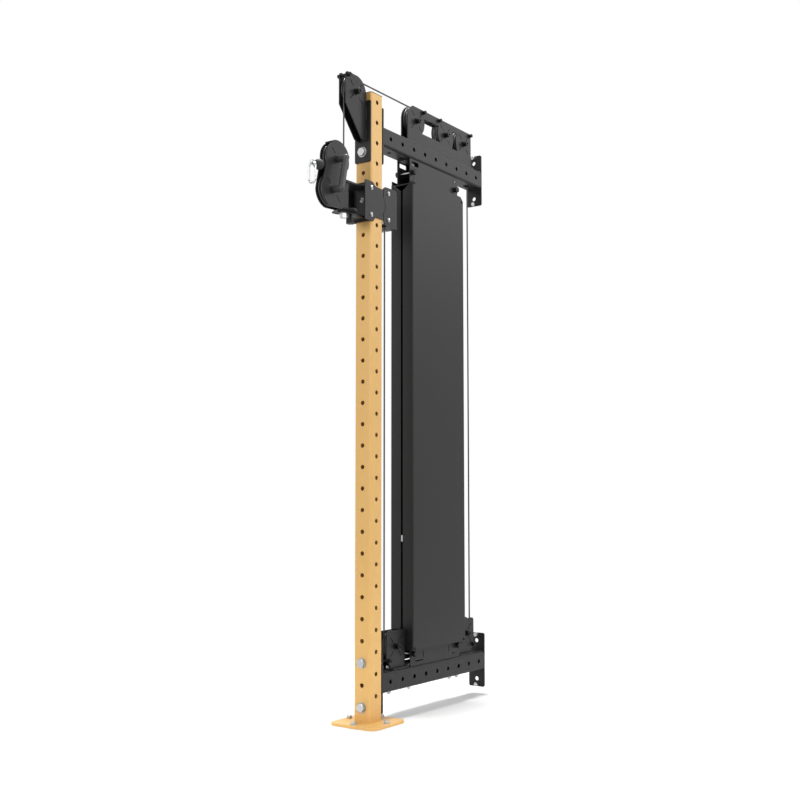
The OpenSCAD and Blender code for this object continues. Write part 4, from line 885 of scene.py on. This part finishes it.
button_screws = hardware_tree("button_screws", ("Head radius", "Head height") + bolt_sizes,
                              button_screw)
row_step, edge_inset, rear_step, web_screw_rise = 0.052, 0.004, 0.032, 0.008
carriage_sheet, rear_grip = 0.004, 0.012
carriage_middle_z = (carriage_low[2] + carriage_high[2]) / 2
screw_rows = [carriage_middle_z + side * row_step for side in (-1, 1)]
carriage_outside = carriage_high[0]
front_screw_y, rear_screw_y = -tube_half - edge_inset, tube_half + rear_step
button_head = dict(head_radius=0.0068, head_height=0.0066, washer_radius=0.0085,
                   washer_thickness=0.0015, shank_radius=0.0029)
side_screws = stand_on("carriage_front_screws", button_screws,
                       [((way[0] * carriage_outside, front_screw_y, z), way)
                        for z in screw_rows for way in both_ways],
                       "carriage", "zinc", zinc, shank_length=carriage_sheet, **button_head)
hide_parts("carriage_screws")
stand_on("carriage_rear_screws", button_screws,
         [((way[0] * carriage_outside, rear_screw_y, z), way)
          for z in screw_rows for way in both_ways],
         "carriage", "zinc", zinc, shank_length=carriage_sheet + rear_grip, **button_head)
stand_on("web_screw", button_screws,
         [((0, web_y, carriage_middle_z + web_screw_rise), toward_user)],
         "carriage", "zinc", zinc, shank_length=carriage_sheet, **button_head)

# Glides: white nylon pads between the web and the upright, and blocks behind it that the
# rear screws hold, so that no steel rubs on the gold coat.
deburred("carriage_glides", white_nylon, edge=0.0004)

# Cable anchor: a threaded ferrule swaged on the cable's end, and its nut on the
# carriage's floor.
deburred("cable_anchor", zinc, edge=0.0006)

# Swivel bolt: a zinc-plated bolt that runs up through the lower lug, the arm's barrel and
# the upper lug, with its head underneath and its nut on top.
deburred("pivot_bolt", zinc, edge=0.0006)

# Spring pin: a steel barrel with a hexagon foot, screwed into the carriage's left side,
# and the ground pin with its cross bar, parked pulled out so that the carriage can slide.
deburred("pop_pin_housing", zinc, edge=0.0006)
deburred("pop_pin", ground_steel, edge=0.0005)

# Swing arm: two side plates, a barrel, an index plate and a guard over the upper pulley,
# cut from plate and tube and welded into one piece.
deburred("swing_arm", black, edge=0.0006)

# Arm axles: two black steel bolts with round heads on the left, which pass through the
# arm's plates and pulleys and screw into the grab handle's ends.
handle_grip = 0.021
arm_axle_places = [axle_at[wheel] for wheel in arm_pulleys]
arm_axle = {**axle_bolt, "head_height": 0.010, "shank_length": 2 * plate_outside + handle_grip}
arm_bolts = stand_on("arm_axle_bolts", socket_screws, on_plate(arm_axle_places, leftward),
                     "arm", "black_bolts", black_bolts, **arm_axle)
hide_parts("arm_axles")

# Grab handle and the arm's lock pin: black plastic moulded over steel. The handle is
# held by the two axles, and the pin runs up through the lower lug from its star knob.
grip_plastic = moulded("grip_plastic", (0.034, 0.034, 0.035), gloss=0.46, grain=520,
                       depth=0.00006)
deburred("grab_handle", grip_plastic, edge=0.0008, segments=3)
deburred("swivel_pin", cap_plastic, edge=0.0008, segments=3)

# Ball stop: a black rubber ball moulded on the cable's end, with a flat in front that
# the swivel screws into. At rest it stands close to the arm.
deburred("ball_stop", bumper_rubber, edge=0)

# Swivel, carabiner and gate: bright drawn steel wire, bent and polished. The gate turns on
# a small rivet at its foot.
deburred("swivel_eye", ground_steel, edge=0)
deburred("carabiner", ground_steel, edge=0)
deburred("carabiner_gate", ground_steel, edge=0)

# Cable: steel wire in a smooth black nylon sleeve, made as one tube for each stretch.
sleeve = moulded("cable_sleeve", (0.03, 0.03, 0.031), gloss=0.4, grain=60, depth=0.00001)
for run in ("cable_top_run", "cable_rear_run", "cable_stack_arc", "cable_arm_arc"):
    deburred(run, sleeve, edge=0)
cable_radius, cable_run_radius = 0.003, 0.054


def taut(name, start, end, nodes):
    """A straight stretch of cable with a ring every two centimetres."""
    sides, ring_pitch, end_turn = 16, 0.02, math.radians(40)
    start, end = Vector(start), Vector(end)
    rings = max(2, round((end - start).length / ring_pitch)) + 1
    upright = (end - start).cross(Vector((1, 0, 0))).normalized() * cable_radius
    level = Vector((cable_radius, 0, 0))
    work = bmesh.new()
    hoops = []
    for i in range(rings):
        middle = start.lerp(end, i / (rings - 1))
        hoops.append([work.verts.new(middle + upright * math.sin(math.tau * k / sides)
                                     + level * math.cos(math.tau * k / sides))
                      for k in range(sides)])
    for low, high in zip(hoops, hoops[1:]):
        for k in range(sides):
            after = (k + 1) % sides
            work.faces.new((low[k], low[after], high[after], high[k]))
    work.faces.new(list(reversed(hoops[0])))
    work.faces.new(hoops[-1])
    bmesh.ops.recalc_face_normals(work, faces=work.faces)
    mesh = bpy.data.meshes.new(name)
    work.to_mesh(mesh)
    work.free()
    mesh.materials.append(sleeve)
    mesh.shade_smooth()
    mesh.set_sharp_from_angle(angle=end_turn)
    piece = bpy.data.objects.new(name, mesh)
    scene.collection.objects.link(piece)
    if nodes:
        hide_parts(*nodes)
    return piece


top_axle_z, low_axle_z = axle_at["front_pulley"].z, axle_at["lower_front_pulley"].z
stack_axle_z, arm_axle_z = axle_at["stack_pulley"].z, axle_at["arm_upper_pulley"].z
front_run_y = axle_at["front_pulley"].y - cable_run_radius
anchor_run_y = axle_at["lower_front_pulley"].y - cable_run_radius
fall_y, rise_y = stack_middle_y - cable_run_radius, stack_middle_y + cable_run_radius
anchor_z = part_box("cable_anchor_run")[1][2]
fall = taut("cable_fall", (0, fall_y, top_axle_z), (0, fall_y, stack_axle_z),
            ["cable_stack_runs"])
rise = taut("cable_rise", (0, rise_y, top_axle_z), (0, rise_y, stack_axle_z), [])
for run in (fall, rise):
    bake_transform(run)
front_top, front_foot = (0, front_run_y, top_axle_z), (0, front_run_y, arm_axle_z)
front_run = taut("cable_front", front_top, front_foot, ["cable_front_run"])
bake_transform(front_run)
anchor_foot, anchor_top = (0, anchor_run_y, low_axle_z), (0, anchor_run_y, anchor_z)
anchor_run = taut("cable_anchored", anchor_foot, anchor_top, ["cable_anchor_run"])
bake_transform(anchor_run)
arm_exit, ball_face = (0, -0.222889, 2.016737), (0, -0.285255, 2.027139)
handle_run = taut("cable_handle", arm_exit, ball_face, ["cable_handle_run"])
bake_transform(handle_run)
